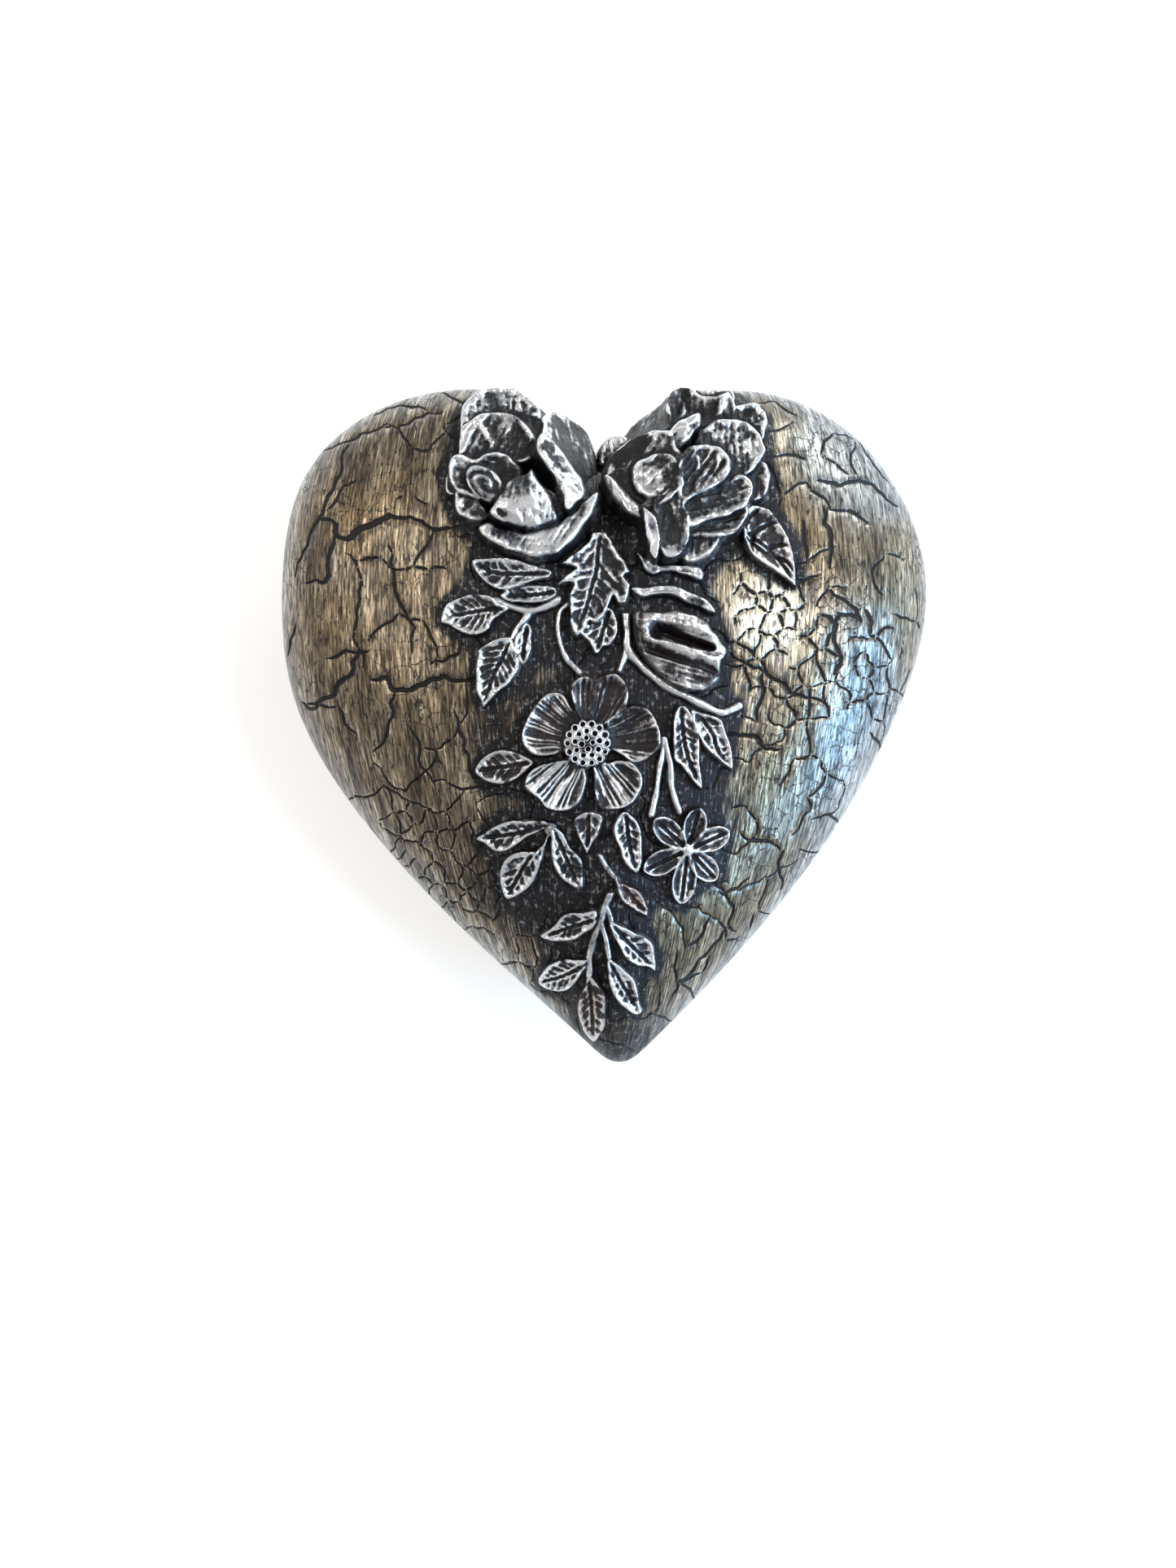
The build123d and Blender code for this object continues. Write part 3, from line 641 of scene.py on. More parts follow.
# The widest cracks, laid out from above: each a run of places with its width at the middle.
wide_cracks = [
    (0.5, [(-66, 62.5), (-60, 63), (-54, 65), (-49, 66.5), (-46, 65)]),
    (0.6, [(-46, 65), (-42, 67.5), (-36, 68.5)]),
    (0.7, [(-57, 62), (-58, 57), (-61, 50), (-63, 45), (-67, 38), (-69, 33)]),
    (1.3, [(-63, 45), (-60, 44.5), (-58.5, 41), (-55, 40), (-50, 42.5), (-46, 44.5), (-43, 43.5)]),
    (0.8, [(-43, 43.5), (-38, 41.5), (-32, 41)]),
    (1.0, [(-59, 41), (-60.5, 34), (-61, 30.5), (-66, 31)]),
    (0.7, [(-46, 37), (-45, 31), (-43, 24), (-41, 15)]),
    (0.5, [(-55, 36), (-53, 28), (-54, 20), (-52, 12)]),
    (1.0, [(-69, 22), (-71.5, 16)]),
    (1.4, [(-53, 15.5), (-55, 10), (-59, 6), (-64, 3.5), (-68, 5)]),
    (1.0, [(-60, 14), (-56, 15.5), (-51, 15)]),
    (1.7, [(-50, 9), (-47, 9.5), (-45, 6.5), (-40, 7.5), (-34, 9.5), (-27, 9)]),
    (0.9, [(-45, 6.5), (-45.5, 1), (-47, -3), (-50, -6)]),
    (0.9, [(-37, 12), (-34, 12.5), (-31, 14), (-28, 20)]),
    (0.9, [(-42, -1), (-40, -8), (-37, -13), (-34, -12.5)]),
    (1.1, [(-32, 2), (-30, -6), (-28, -12), (-25, -12)]),
    (1.0, [(-34, -13), (-27, -14), (-22, -13)]),
    (0.6, [(-50, -9), (-46, -14), (-43, -15), (-39, -11), (-36, -6)]),
    (0.9, [(47, 46), (48.5, 40), (48, 33)]),
    (1.0, [(45, 31), (42, 29.5), (38, 31)]),
    (0.9, [(46, 52.5), (51, 51.5), (56, 53.5), (62, 51), (66, 49)]),
    (0.9, [(48, 28), (52, 25.5), (55, 22), (50, 23), (50, 15), (49, 10)]),
    (1.1, [(26, 14), (31, 11), (35, 9), (39, 6), (44, 5), (48, 3)]),
    (1.2, [(33, 10), (33, 5), (32, 0)]),
    (1.5, [(25, -3), (29, -3), (32, -3.5), (34, -6), (37, -6)]),
    (1.3, [(29, -24), (32, -25.5), (36, -26), (38, -27.5)]),
    (1.2, [(39, -28), (38.5, -33), (39.5, -37)]),
    (1.0, [(46, -21), (50, -20), (54, -22), (57, -23)]),
    (1.2, [(59, -2), (63, -5), (66, -9)]),
    (1.0, [(25, -37), (28, -40), (27, -44), (29, -46)]),
    (0.9, [(27, -45), (23, -50), (19, -55), (15, -60)]),
    (0.8, [(31, -34), (26, -37), (22, -34)]),
    (0.9, [(-52, 70), (-46, 72), (-40, 70)]),
    (0.7, [(58, 66), (60, 60), (64, 55)]),
]


def patch(x, y, centre_x, centre_y, reach_x, reach_y):
    """1 at a place on the lid, fading out round it over the two reaches."""
    return np.exp(-((x - centre_x) / reach_x) ** 2 - ((y - centre_y) / reach_y) ** 2)


def crackle_spacing(x, y):
    """How far apart the cracks of the net lie at a place seen from above."""
    spacing = np.where(x < 0, 15.0, 7.5)
    patches = [(33, 21, 9, 8, 2.6), (40, 8, 14, 13, 4.6), (60, 12, 10, 16, 4.6),
               (-40, -24, 14, 13, 3.4), (-30, -34, 16, 12, 3.2), (30, -40, 18, 14, 5.6),
               (-10, -55, 16, 14, 4.4), (64, 46, 12, 14, 8.0), (-30, 60, 14, 14, 6.5),
               (-28, 30, 12, 18, 6.0)]
    for *place, size in patches:
        spacing = spacing + (size - spacing) * np.clip(patch(x, y, *place) * 1.6, 0, 1)
    return spacing


def wobble(line, random, size):
    """Splits each run of a line in two, twice, moving the new points a little sideways."""
    for _ in range(2):
        halved = [line[0]]
        for start, end in zip(line, line[1:]):
            run = end - start
            side = np.array([-run[1], run[0]])
            halved.append((start + end) / 2 + side * random.uniform(-size, size))
            halved.append(end)
        line = halved
    return line


def crackle_net():
    """Cracks between cells of wax that shrank as they dried: lines and their widths."""
    random = np.random.default_rng(28)
    tries = 16000
    packing = 0.72
    flatness = 0.72
    seeds = []
    for _ in range(tries):
        x = random.uniform(lid_low.x, lid_high.x) * 1000
        y = random.uniform(lid_low.y, lid_high.y) * 1000
        if read_grid(ground, np.array([x]), np.array([y]))[0] < rim_height + 3:
            continue
        gap = float(crackle_spacing(np.array(x), np.array(y))) * packing
        if all((x - a) ** 2 + ((y - b) * flatness) ** 2 > gap * gap for a, b in seeds):
            seeds.append((x, y))
    cells = delaunay_2d_cdt([Vector(seed) for seed in seeds], [], [], 0, 1e-5)
    corners = np.array([tuple(corner) for corner in cells[0]])
    centres = {}
    shared = {}
    for number, triangle in enumerate(cells[2]):
        a, b, c = (corners[i] for i in triangle)
        turn = 2 * (a[0] * (b[1] - c[1]) + b[0] * (c[1] - a[1]) + c[0] * (a[1] - b[1]))
        far_a, far_b, far_c = (float(place @ place) for place in (a, b, c))
        centres[number] = np.array([
            (far_a * (b[1] - c[1]) + far_b * (c[1] - a[1]) + far_c * (a[1] - b[1])) / turn,
            (far_a * (c[0] - b[0]) + far_b * (a[0] - c[0]) + far_c * (b[0] - a[0])) / turn])
        for i in range(3):
            edge = tuple(sorted((triangle[i], triangle[(i + 1) % 3])))
            shared.setdefault(edge, []).append(number)
    cracks = []
    for edge in sorted(shared):
        sides = shared[edge]
        if len(sides) != 2:
            continue
        start, end = centres[sides[0]], centres[sides[1]]
        length = float(np.hypot(*(end - start)))
        spacing = float(crackle_spacing(start[0], start[1]))
        keep = 0.80 if spacing < 5 else 0.40
        if random.random() > keep or not 0.3 < length < 2.2 * spacing:
            continue
        width = 0.20 + 0.30 * random.random() ** 2 + (0.10 if spacing < 4 else 0.0)
        cracks.append((width, wobble([start, end], random, 0.16)))
    for width, run in wide_cracks:
        line = [np.array(place, dtype=float) + np.array(lid_middle[:2]) for place in run]
        cracks.append((0.55 * width, wobble(line, random, 0.18)))
    return cracks


# Each crack is followed over the flattened skin, with points along its bottom and its two lips.
crack_pace = 0.55      # between points along a crack
crack_lip = 0.16       # width of the slope at each side
crack_spots = []
crack_sides = []
side_random = np.random.default_rng(7)
for width, line in crackle_net():
    line = [place for place in line
            if read_grid(ground, place[:1], place[1:2])[0] > rim_height + 1.0]
    if len(line) < 2:
        continue
    flat = flattened(np.array([p[0] for p in line]), np.array([p[1] for p in line]))
    runs = [0.0]
    for start, end in zip(flat, flat[1:]):
        runs.append(runs[-1] + float(np.hypot(*(end - start))))
    count = max(2, int(runs[-1] / crack_pace))
    for i in range(count + 1):
        along = runs[-1] * i / count
        spot = np.array([np.interp(along, runs, flat[:, 0]), np.interp(along, runs, flat[:, 1])])
        ahead = min(along + 0.3, runs[-1])
        behind = max(along - 0.3, 0.0)
        way = np.array([np.interp(ahead, runs, flat[:, k]) - np.interp(behind, runs, flat[:, k])
                        for k in (0, 1)])
        way = way / max(float(np.hypot(*way)), 1e-6)
        side = np.array([-way[1], way[0]])
        taper = 0.35 + 0.65 * abs(math.sin(math.pi * i / count)) ** 0.6
        half = 0.5 * width * taper * side_random.uniform(0.8, 1.2)
        crack_spots.append((spot[0], spot[1], half))
        for offset in (-half - crack_lip, -half, half, half + crack_lip):
            crack_sides.append(spot + side * offset)

# The flattened skin is netted with a plain triangle grid and the points of the cracks.
net_step = 1.35
row_gap = net_step * math.sqrt(0.75)
weld = 0.06            # points are moved to places this far apart, so that close ones join
rim_margin = 0.8       # bare strip between the rim's own points and the others
sheet = [np.array([0.0, 0.0])]
for row in range(-int(skin_size / row_gap) - 1, int(skin_size / row_gap) + 2):
    for column in range(-int(skin_size / net_step) - 1, int(skin_size / net_step) + 2):
        spot = np.array([(column + 0.5 * (row % 2)) * net_step, row * row_gap])
        sheet.append(spot)
sheet += [np.array(spot[:2]) for spot in crack_spots] + crack_sides
within = [spot for spot in sheet if np.hypot(*spot) < skin_size - rim_margin]
within = np.unique(np.round(np.array(within) / weld) * weld, axis=0)
rim_ring = [np.array([math.cos(angle), math.sin(angle)]) * skin_size for angle in turn_angles]
sheet = np.concatenate([np.array(rim_ring), within])
net = delaunay_2d_cdt([Vector(spot) for spot in sheet], [], [], 0, 1e-7)
sheet = np.array([tuple(corner) for corner in net[0]])
on_rim = np.hypot(sheet[:, 0], sheet[:, 1]) > skin_size - 1e-3

finder = KDTree(len(crack_spots))
for number, spot in enumerate(crack_spots):
    finder.insert((spot[0], spot[1], 0.0), number)
finder.balance()
crack_mask = np.zeros(len(sheet))
crack_depth = np.zeros(len(sheet))
crack_reach = 1.1
deepest_crack = 0.45
for number, spot in enumerate(sheet):
    for _, found, gap in finder.find_range((spot[0], spot[1], 0.0), crack_reach):
        half = crack_spots[found][2]
        share = min(max((half + crack_lip - gap) / 0.20, 0.0), 1.0)
        depth = share * min(0.16 + 0.5 * half, deepest_crack)
        crack_mask[number] = max(crack_mask[number], share)
        crack_depth[number] = max(crack_depth[number], depth)
crack_depth[on_rim] = 0
outer_points = on_skin(sheet, outer_reach, crack_depth)
outer_points[on_rim, 2] = rim_height

# The hollow's skin hangs from the rim in rings, down to the middle of its ceiling.
inner_levels = 15
lid_points = [tuple(point) for point in outer_points]
lid_faces = [tuple(face) for face in net[2]]
rim_order = sorted(np.flatnonzero(on_rim),
                   key=lambda i: math.atan2(sheet[i, 1], sheet[i, 0]) % (2 * math.pi))
previous = [int(i) for i in rim_order]
for level in range(inner_levels + 1):
    far = skin_size * (1 - level / (inner_levels + 1))
    places = np.array([[math.cos(angle) * far, math.sin(angle) * far] for angle in turn_angles])
    ring = on_skin(places, inner_reach)
    if level == 0:
        ring[:, 2] = rim_height
    start = len(lid_points)
    lid_points += [tuple(point) for point in ring]
    current = list(range(start, start + rim_turns))
    for turn in range(rim_turns):
        on = (turn + 1) % rim_turns
        lid_faces.append((previous[on], previous[turn], current[turn], current[on]))
    previous = current
lid_points.append(tuple(on_skin(np.array([[0.0, 0.0]]), inner_reach)[0]))
for turn in range(rim_turns):
    lid_faces.append((previous[(turn + 1) % rim_turns], previous[turn], len(lid_points) - 1))
domed_lid = new_piece("domed_lid", lid_points, lid_faces)

# The brush ran from the notch towards the tip, so its marks draw together with the outline.
lid_places = np.array(lid_points)
lid_x = lid_places[:, 0] - lid_middle.x
lid_y = lid_places[:, 1] - lid_middle.y
is_outer = np.arange(len(lid_places)) < len(outer_points)
lobe_reach = 74.0
widest_y = 30.0
narrowing_run = 112.0
narrowing = np.clip((widest_y - lid_y) / narrowing_run, -1, 1) ** 2 * 0.92
half_width = lobe_reach * np.sqrt(np.clip(1 - narrowing, 0.05, 1))
set_grain(domed_lid, lid_x * lobe_reach / half_width, lid_y)
high = np.clip((lid_places[:, 2] - rim_height) / (lid_high.z * 1000 - rim_height), 0, 1)
# Silvered towards the outline. The three patches are painted light on the right lobe: a grey one
# low down that paints a bluish reflection, one at the edge that takes the silvering off to paint
# shade, and one high up that paints a sheen.
set_mask(domed_lid, "silver_and_painted_light", np.clip(1.15 - 1.55 * high, 0, 1) * 0.75
         + 0.65 * patch(lid_x, lid_y, 54, 4, 13, 30) - 0.70 * patch(lid_x, lid_y, 72, 26, 7, 22)
         + 0.95 * patch(lid_x, lid_y, 54, 56, 15, 12))
# Gilded patches that also paint warm highlights: they sit on the bright spots of the left and right
# lobes, and the gilt tone is lighter than the wax.
gold_and_painted_highlight = np.zeros(len(lid_places))
for *place, amount in ((-52, 42, 12, 16, 1.0), (-50, 22, 16, 16, 0.9), (38, 34, 10, 18, 1.0),
                       (45, 10, 12, 14, 0.8), (32, -12, 10, 14, 0.5), (-36, 2, 12, 10, 0.5)):
    gold_and_painted_highlight = np.maximum(gold_and_painted_highlight, amount * patch(lid_x, lid_y, *place))
set_mask(domed_lid, "gold_and_painted_highlight", gold_and_painted_highlight)
# Thick pale wax below the right rose; the fainter patch on the left lobe paints a streaky
# highlight.
cream_and_painted_highlight = patch(lid_x, lid_y, 34, 23, 10, 12) + 0.5 * patch(lid_x, lid_y, -48, 41, 7, 6)
set_mask(domed_lid, "cream_and_painted_highlight", np.where(is_outer, cream_and_painted_highlight, 0))
set_mask(domed_lid, "crack", np.pad(crack_mask, (0, len(lid_places) - len(outer_points))))
domed_lid.data.materials.append(aged_bronze)
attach(domed_lid, "lid")
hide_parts("lid_shell")


# ---- Rose on the left lobe
# A resin casting glued to the lid: broad back petals, a curled petal round a spiral bud, and a
# ball-shaped heart petal in front. It is painted black and dry-brushed with silver.

def silvered_relief_finish():
    """Silver dry-brushed over black, read from masks on the casting.

    Masks: rub (1 on what stands proud), pale (evenly brushed silvering, less of it in hollows and
    more towards a petal's free edge, which paints shade and light) and blush (brown wax)."""
    material, tree, shader = new_finish("silvered_relief")
    where = object_place(tree)
    rub = attribute(tree, "rub")
    pale = attribute(tree, "pale")
    blush = attribute(tree, "blush")
    fleck = mottle(tree, where, 0.0008, 3.0, 0.7)
    bristle = mottle(tree, stretched(tree, where, (1.0, 0.35, 0.6)), 0.0011, 4.0, 0.7)
    cloud = mottle(tree, where, 0.005, 2.0)
    reach = plus_share(tree, maths(tree, "MULTIPLY", rub, 0.95), pale, 0.62)
    broken = plus_share(tree, plus_share(tree, reach, fleck, 0.95), bristle, 1.10)
    silvered = ease(tree, broken, 1.20, 1.72)
    thickness = ease(tree, plus_share(tree, reach, cloud, 0.5), 0.35, 1.10)
    grey = blend(tree, thickness, (0.240, 0.240, 0.245, 1), (0.760, 0.760, 0.770, 1))
    warm = blend(tree, maths(tree, "MULTIPLY", blush, 0.8), grey, (0.240, 0.150, 0.110, 1))
    black = blend(tree, ease(tree, cloud, 0.4, 0.7), (0.006, 0.006, 0.008, 1),
                  (0.016, 0.015, 0.017, 1))
    black = blend(tree, maths(tree, "MULTIPLY", blush, 0.6), black, (0.050, 0.020, 0.013, 1))
    feed(tree, shader, {
        "Base Color": blend(tree, silvered, black, warm),
        "Metallic": ease(tree, silvered, 0.0, 1.0, 0.0, 0.90),
        "Roughness": ease(tree, silvered, 0.0, 1.0, 0.48, 0.30),
        "Specular IOR Level": 0.30, "Normal": bump(tree, broken, 0.00016, 0.6)})
    return material


silvered_relief = silvered_relief_finish()
lattice_size = 256
noise_lattice = np.random.default_rng(411).random((lattice_size, lattice_size))


def swell(value):
    """A smooth rise from 0 to 1 as the value goes from 0 to 1."""
    value = np.clip(value, 0, 1)
    return value * value * (3 - 2 * value)


def patchwork(x, y, size_x, size_y=None, turn=0.0, shift=0.0):
    """Smooth noise from 0 to 1 over the lid, in lumps of the two sizes at the turn in degrees."""
    size_y = size_y or size_x
    angle = math.radians(turn)
    u = (x * math.cos(angle) + y * math.sin(angle)) / size_x + shift * 17.3
    v = (y * math.cos(angle) - x * math.sin(angle)) / size_y + shift * 9.1
    a = np.floor(u).astype(int)
    b = np.floor(v).astype(int)
    near_a, near_b = a % lattice_size, b % lattice_size
    far_a, far_b = (a + 1) % lattice_size, (b + 1) % lattice_size
    return across_cell(swell(u - a), swell(v - b),
                       (noise_lattice[near_b, near_a], noise_lattice[near_b, far_a],
                        noise_lattice[far_b, near_a], noise_lattice[far_b, far_a]))


def smooth_line(points, closed=False, parts=8):
    """A smooth run of points through the given ones."""
    points = np.asarray(points, dtype=float)
    count = len(points)
    if closed:
        before, after, later = (np.roll(points, step, axis=0) for step in (1, -1, -2))
        spans = range(count)
    else:
        before = np.vstack([2 * points[0] - points[1], points[:-1]])
        after = np.vstack([points[1:], points[-1:]])
        later = np.vstack([points[2:], 2 * points[-1] - points[-2], points[-1:]])
        spans = range(count - 1)
    drawn = []
    for i in spans:
        for part in range(parts):
            t = part / parts
            drawn.append(0.5 * (2 * points[i] + (after[i] - before[i]) * t
                                + (2 * before[i] - 5 * points[i] + 4 * after[i] - later[i]) * t ** 2
                                + (3 * points[i] - before[i] - 3 * after[i] + later[i]) * t ** 3))
    if not closed:
        drawn.append(points[-1])
    return np.array(drawn)


def line_distance(x, y, line, closed=False):
    """Distance to a run of points, the share along it, and which side (1 left, -1 right)."""
    near = np.full(x.shape, 1e9)
    along = np.zeros(x.shape)
    side = np.ones(x.shape)
    ends = np.vstack([line[1:], line[:1]]) if closed else line[1:]
    total = len(ends)
    for number, (start, end) in enumerate(zip(line, ends)):
        run_x, run_y = end - start
        size = run_x * run_x + run_y * run_y + 1e-12
        share = np.clip(((x - start[0]) * run_x + (y - start[1]) * run_y) / size, 0, 1)
        off_x = x - start[0] - share * run_x
        off_y = y - start[1] - share * run_y
        gap = off_x * off_x + off_y * off_y
        closer = gap < near
        near = np.where(closer, gap, near)
        along = np.where(closer, (number + share) / total, along)
        side = np.where(closer, np.where(run_x * off_y - run_y * off_x >= 0, 1.0, -1.0), side)
    return np.sqrt(near), along, side


def inside_outline(x, y, loop):
    """Distance into a closed smooth outline; negative outside it."""
    gap = line_distance(x, y, loop, closed=True)[0]
    within = np.zeros(x.shape, dtype=bool)
    for start, end in zip(loop, np.vstack([loop[1:], loop[:1]])):
        crosses = (start[1] > y) != (end[1] > y)
        rise = end[1] - start[1] if abs(end[1] - start[1]) > 1e-9 else 1e-9
        within ^= crosses & (x < (end[0] - start[0]) * (y - start[1]) / rise + start[0])
    return np.where(within, gap, -gap)


skirt_depth = 1.1      # how far a casting's sides run on under the lid's skin
buried = 0.4           # its underside lies this much deeper still
coverage = np.zeros_like(ground)


class Casting:
    """The top of one casting, as heights in millimetres over a fine square grid.

    Places are laid out from the middle of the lid, +Y towards the notch."""

    def __init__(self, node_name, step=0.2, margin=1.5):
        self.node_name = node_name
        self.step = step
        low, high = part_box(node_name)
        self.x, self.y = np.meshgrid(
            np.arange(low.x * 1000 - margin, high.x * 1000 + margin, step) - lid_middle.x,
            np.arange(low.y * 1000 - margin, high.y * 1000 + margin, step) - lid_middle.y)
        left, front = low.x * 1000 - lid_middle.x, low.y * 1000 - lid_middle.y
        right, back = high.x * 1000 - lid_middle.x, high.y * 1000 - lid_middle.y
        self.room = np.minimum(np.minimum(self.x - left, right - self.x),
                               np.minimum(self.y - front, back - self.y))
        self.ceiling = high.z * 1000
        self.heart = np.array([left + right, front + back]) / 2
        self.skin = read_grid(ground, self.x + lid_middle.x, self.y + lid_middle.y)
        self.top = self.skin - skirt_depth - buried
        self.pale = np.zeros(self.x.shape)
        self.blush = np.zeros(self.x.shape)

    def leaning_plane(self, place, height, lean, upright=0.5):
        """Every cell's offset from a place, and a plane over it that follows the lid's slope there
        by the upright share and leans on from it."""
        x, y = place
        spot = np.array([x, x + 1.0, x - 1.0, x, x]) + lid_middle.x
        up = np.array([y, y, y, y + 1.0, y - 1.0]) + lid_middle.y
        here, east, west, north, south = read_grid(ground, spot, up)
        off_x, off_y = self.x - x, self.y - y
        return off_x, off_y, (here + height + ((east - west) / 2 * upright + lean[0]) * off_x
                              + ((north - south) / 2 * upright + lean[1]) * off_y)

    def to_line(self, run):
        """Every cell's distance to a smooth line, the share along it, and the side it is on."""
        return line_distance(self.x, self.y, smooth_line(run))

    def lay(self, inside, surface, pale=0.0, blush=0.0, shoulder=0.35, wall=7.0):
        """Adds one form: its surface where inside is positive, with a rounded shoulder."""
        inside = np.minimum(inside, self.room)
        edge = np.clip(inside, 0, shoulder)
        drop = shoulder - np.sqrt(np.maximum(shoulder ** 2 - (shoulder - edge) ** 2, 0))
        form = surface - drop + np.minimum(inside, 0) * wall
        on_top = form > self.top
        self.top = np.where(on_top, form, self.top)
        self.pale = np.where(on_top, pale, self.pale)
        self.blush = np.where(on_top, blush, self.blush)

    def petal(self, outline, height, lean=(0.0, 0.0), lip=0.5, lip_width=0.7, dip=0.7,
              pale=0.3, blush=0.0, streaks=0.10, streak_turn=90, upright=0.5, fold=None,
              shoulder=0.8, lumps=0.22):
        """A petal seen from above: a raised lip round a dished middle, on a leaning plane.

        A fold is a run of places with the fall to its left and to its right, per millimetre."""
        loop = smooth_line(outline, closed=True)
        inside = inside_outline(self.x, self.y, loop)
        inside = inside + 0.7 * (patchwork(self.x, self.y, 2.3, shift=height + 5) - 0.5)
        middle = loop.mean(axis=0)
        off_x, off_y, surface = self.leaning_plane(middle, height, lean, upright)
        deepest = max(float(inside.max()), 0.5)
        uneven = swell(1.5 * patchwork(self.x, self.y, 4.0, shift=height) - 0.2)
        surface += 0.65 * lip * uneven * np.exp(-((inside - 0.5) / (1.3 * lip_width)) ** 2)
        surface -= 0.6 * dip * swell(inside / deepest)
        if fold is not None:
            run, left, right = fold
            gap, _, side = self.to_line(run)
            surface -= np.where(side > 0, left, right) * gap
        drawn = patchwork(self.x, self.y, 0.55, 4.0, streak_turn - 90, height)
        surface += (streaks + 0.12) * (drawn - 0.5) * 2 * np.clip(inside / 0.8, 0, 1)
        if lumps:
            surface += lumps * (patchwork(self.x, self.y, 1.5, shift=height) - 0.5) * 2
            surface += 0.5 * lumps * (patchwork(self.x, self.y, 0.7, shift=height + 1) - 0.5) * 2
        cloudy = patchwork(self.x, self.y, 3.2, shift=height + 2)
        # Painted light and shade: each petal's silvering grows towards its free outer edge and
        # fades towards the casting's middle, as light would fall on a cupped petal.
        outward = middle - self.heart
        outward = outward / max(float(np.hypot(*outward)), 1.0)
        painted_light_outward = swell(0.5 + (off_x * outward[0] + off_y * outward[1]) / (1.6 * deepest))
        worn = (pale + 0.48) * (0.30 + 0.90 * cloudy) * (0.40 + 0.90 * painted_light_outward)
        self.lay(inside, surface, worn, blush, shoulder)

    def ridge(self, run, rise, width, pale=None, blunt=1.0):
        """Raises what is already there along a line."""
        gap, along, _ = self.to_line(run)
        raised = np.exp(-(gap / width) ** 2) * np.sin(np.pi * np.clip(along, 0.02, 0.98)) ** blunt
        above = self.top > self.skin + 0.1
        self.top = np.where(above, self.top + rise * raised, self.top)
        if pale is not None:
            self.pale = np.where(above, np.maximum(self.pale, pale * raised), self.pale)

    def groove(self, run, depth, width, taper=0.0):
        """Presses a line into what is already there, down to the lid at most, and leaves it
        unsilvered; a taper narrows it towards its end."""
        gap, along, _ = self.to_line(run)
        pressed = np.exp(-(gap / (width * (1 - taper * along))) ** 2)
        above = self.top > self.skin
        floor = self.skin - 0.2
        self.top = np.where(above, np.maximum(self.top - depth * pressed, floor), self.top)
        self.pale = np.where(above, self.pale * (1 - np.clip(1.4 * pressed, 0, 1)), self.pale)

    def bud(self, centre, radius_long, radius_short, turn, height, turns=3.0, lean=(0.0, 0.0)):
        """A rolled bud: a low dome with a spiral of lips wound into it."""
        angle = math.radians(turn)
        off_x, off_y, plane = self.leaning_plane(centre, height, lean)
        u = (off_x * math.cos(angle) + off_y * math.sin(angle)) / radius_long
        v = (off_y * math.cos(angle) - off_x * math.sin(angle)) / radius_short
        out = np.hypot(u, v)
        uneven = patchwork(self.x, self.y, 2.2, shift=height)
        wound = np.mod(out * turns - np.arctan2(v, u) / (2 * math.pi) + 0.45 * uneven, 1.0)
        lips = np.maximum(0, 1 - np.abs(wound - 0.5) / 0.40) * (0.35 + 0.9 * uneven)
        self.lay((1 - out) * min(radius_long, radius_short),
                 plane - out ** 2 + 0.80 * lips ** 0.7, 0.45)

    def stem(self, run, width, height=1.4, pale=0.45, taper=0.0):
        """A round stem along a line; a taper narrows it towards its end."""
        gap, along, _ = self.to_line(run)
        knobbly = 0.85 + 0.3 * patchwork(self.x, self.y, 2.4, shift=height)
        half = 0.5 * width * (1 - taper * along) * knobbly
        surface = self.skin + height * np.sqrt(np.clip(1 - (gap / half) ** 2, 0.05, 1))
        surface += 0.14 * (patchwork(self.x, self.y, 0.9, shift=2) - 0.5)
        self.lay(half - gap, surface, pale, shoulder=0.2)

    def leaf(self, outline, midrib, height=1.9, veins=6, pale=0.55, blush=0.0, edge=1.0,
             dish=0.50, smooth=True, inner_pale=0.05):
        """A leaf with a worn raised border round a dished middle, where thin veins stand up
        beside a pressed midrib. The edge widens the border."""
        loop = smooth_line(outline, closed=True, parts=5) if smooth else np.array(outline)
        inside = inside_outline(self.x, self.y, loop)
        gap, along, side = self.to_line(midrib)
        length = float(np.hypot(*np.diff(smooth_line(midrib), axis=0).T).sum())
        uneven = (0.6 * patchwork(self.x, self.y, 1.9, shift=height + midrib[0][0])
                  + 0.4 * patchwork(self.x, self.y, 0.9, shift=height + midrib[0][1]))
        ragged = patchwork(self.x, self.y, 2.6, shift=height + midrib[-1][0])
        border = swell(1.0 - (inside - 0.5) / (edge * (0.35 + 1.7 * ragged)))
        surface = self.skin + height + 0.20 * border - dish * swell(inside / (1.6 * edge))
        fade = swell((inside - 0.3) / 0.7)
        shank = np.clip((0.97 - along) * 8, 0, 1)
        surface -= 0.65 * np.exp(-(gap / 0.26) ** 2) * shank
        beside = np.exp(-((gap - 0.60) / 0.26) ** 2) * shank * swell(2.2 * uneven - 0.4)
        surface += 0.30 * beside
        inner = inner_pale + 0.60 * beside + 0.55 * swell(2.6 * uneven - 1.1)
        if veins:
            spacing = length / veins
            slant = 0.8
            drift = 0.6 * patchwork(self.x, self.y, 2.4, shift=height + 1)
            drift = drift + np.where(side > 0, 0.4, 0)
            beat = np.mod((along * length - gap * slant) / spacing + drift, 1.0)
            surface += 0.46 * (beat - 0.5) * fade
            crest = swell((beat - 0.45) / 0.5)
            inner = inner + 0.75 * crest * (0.2 + uneven)
        surface += 0.30 * (patchwork(self.x, self.y, 0.75, shift=height) - 0.5)
        worn = border * (0.15 + 1.5 * swell(2.4 * uneven - 0.6))
        self.lay(inside, surface, pale * worn + inner, blush, 0.3)

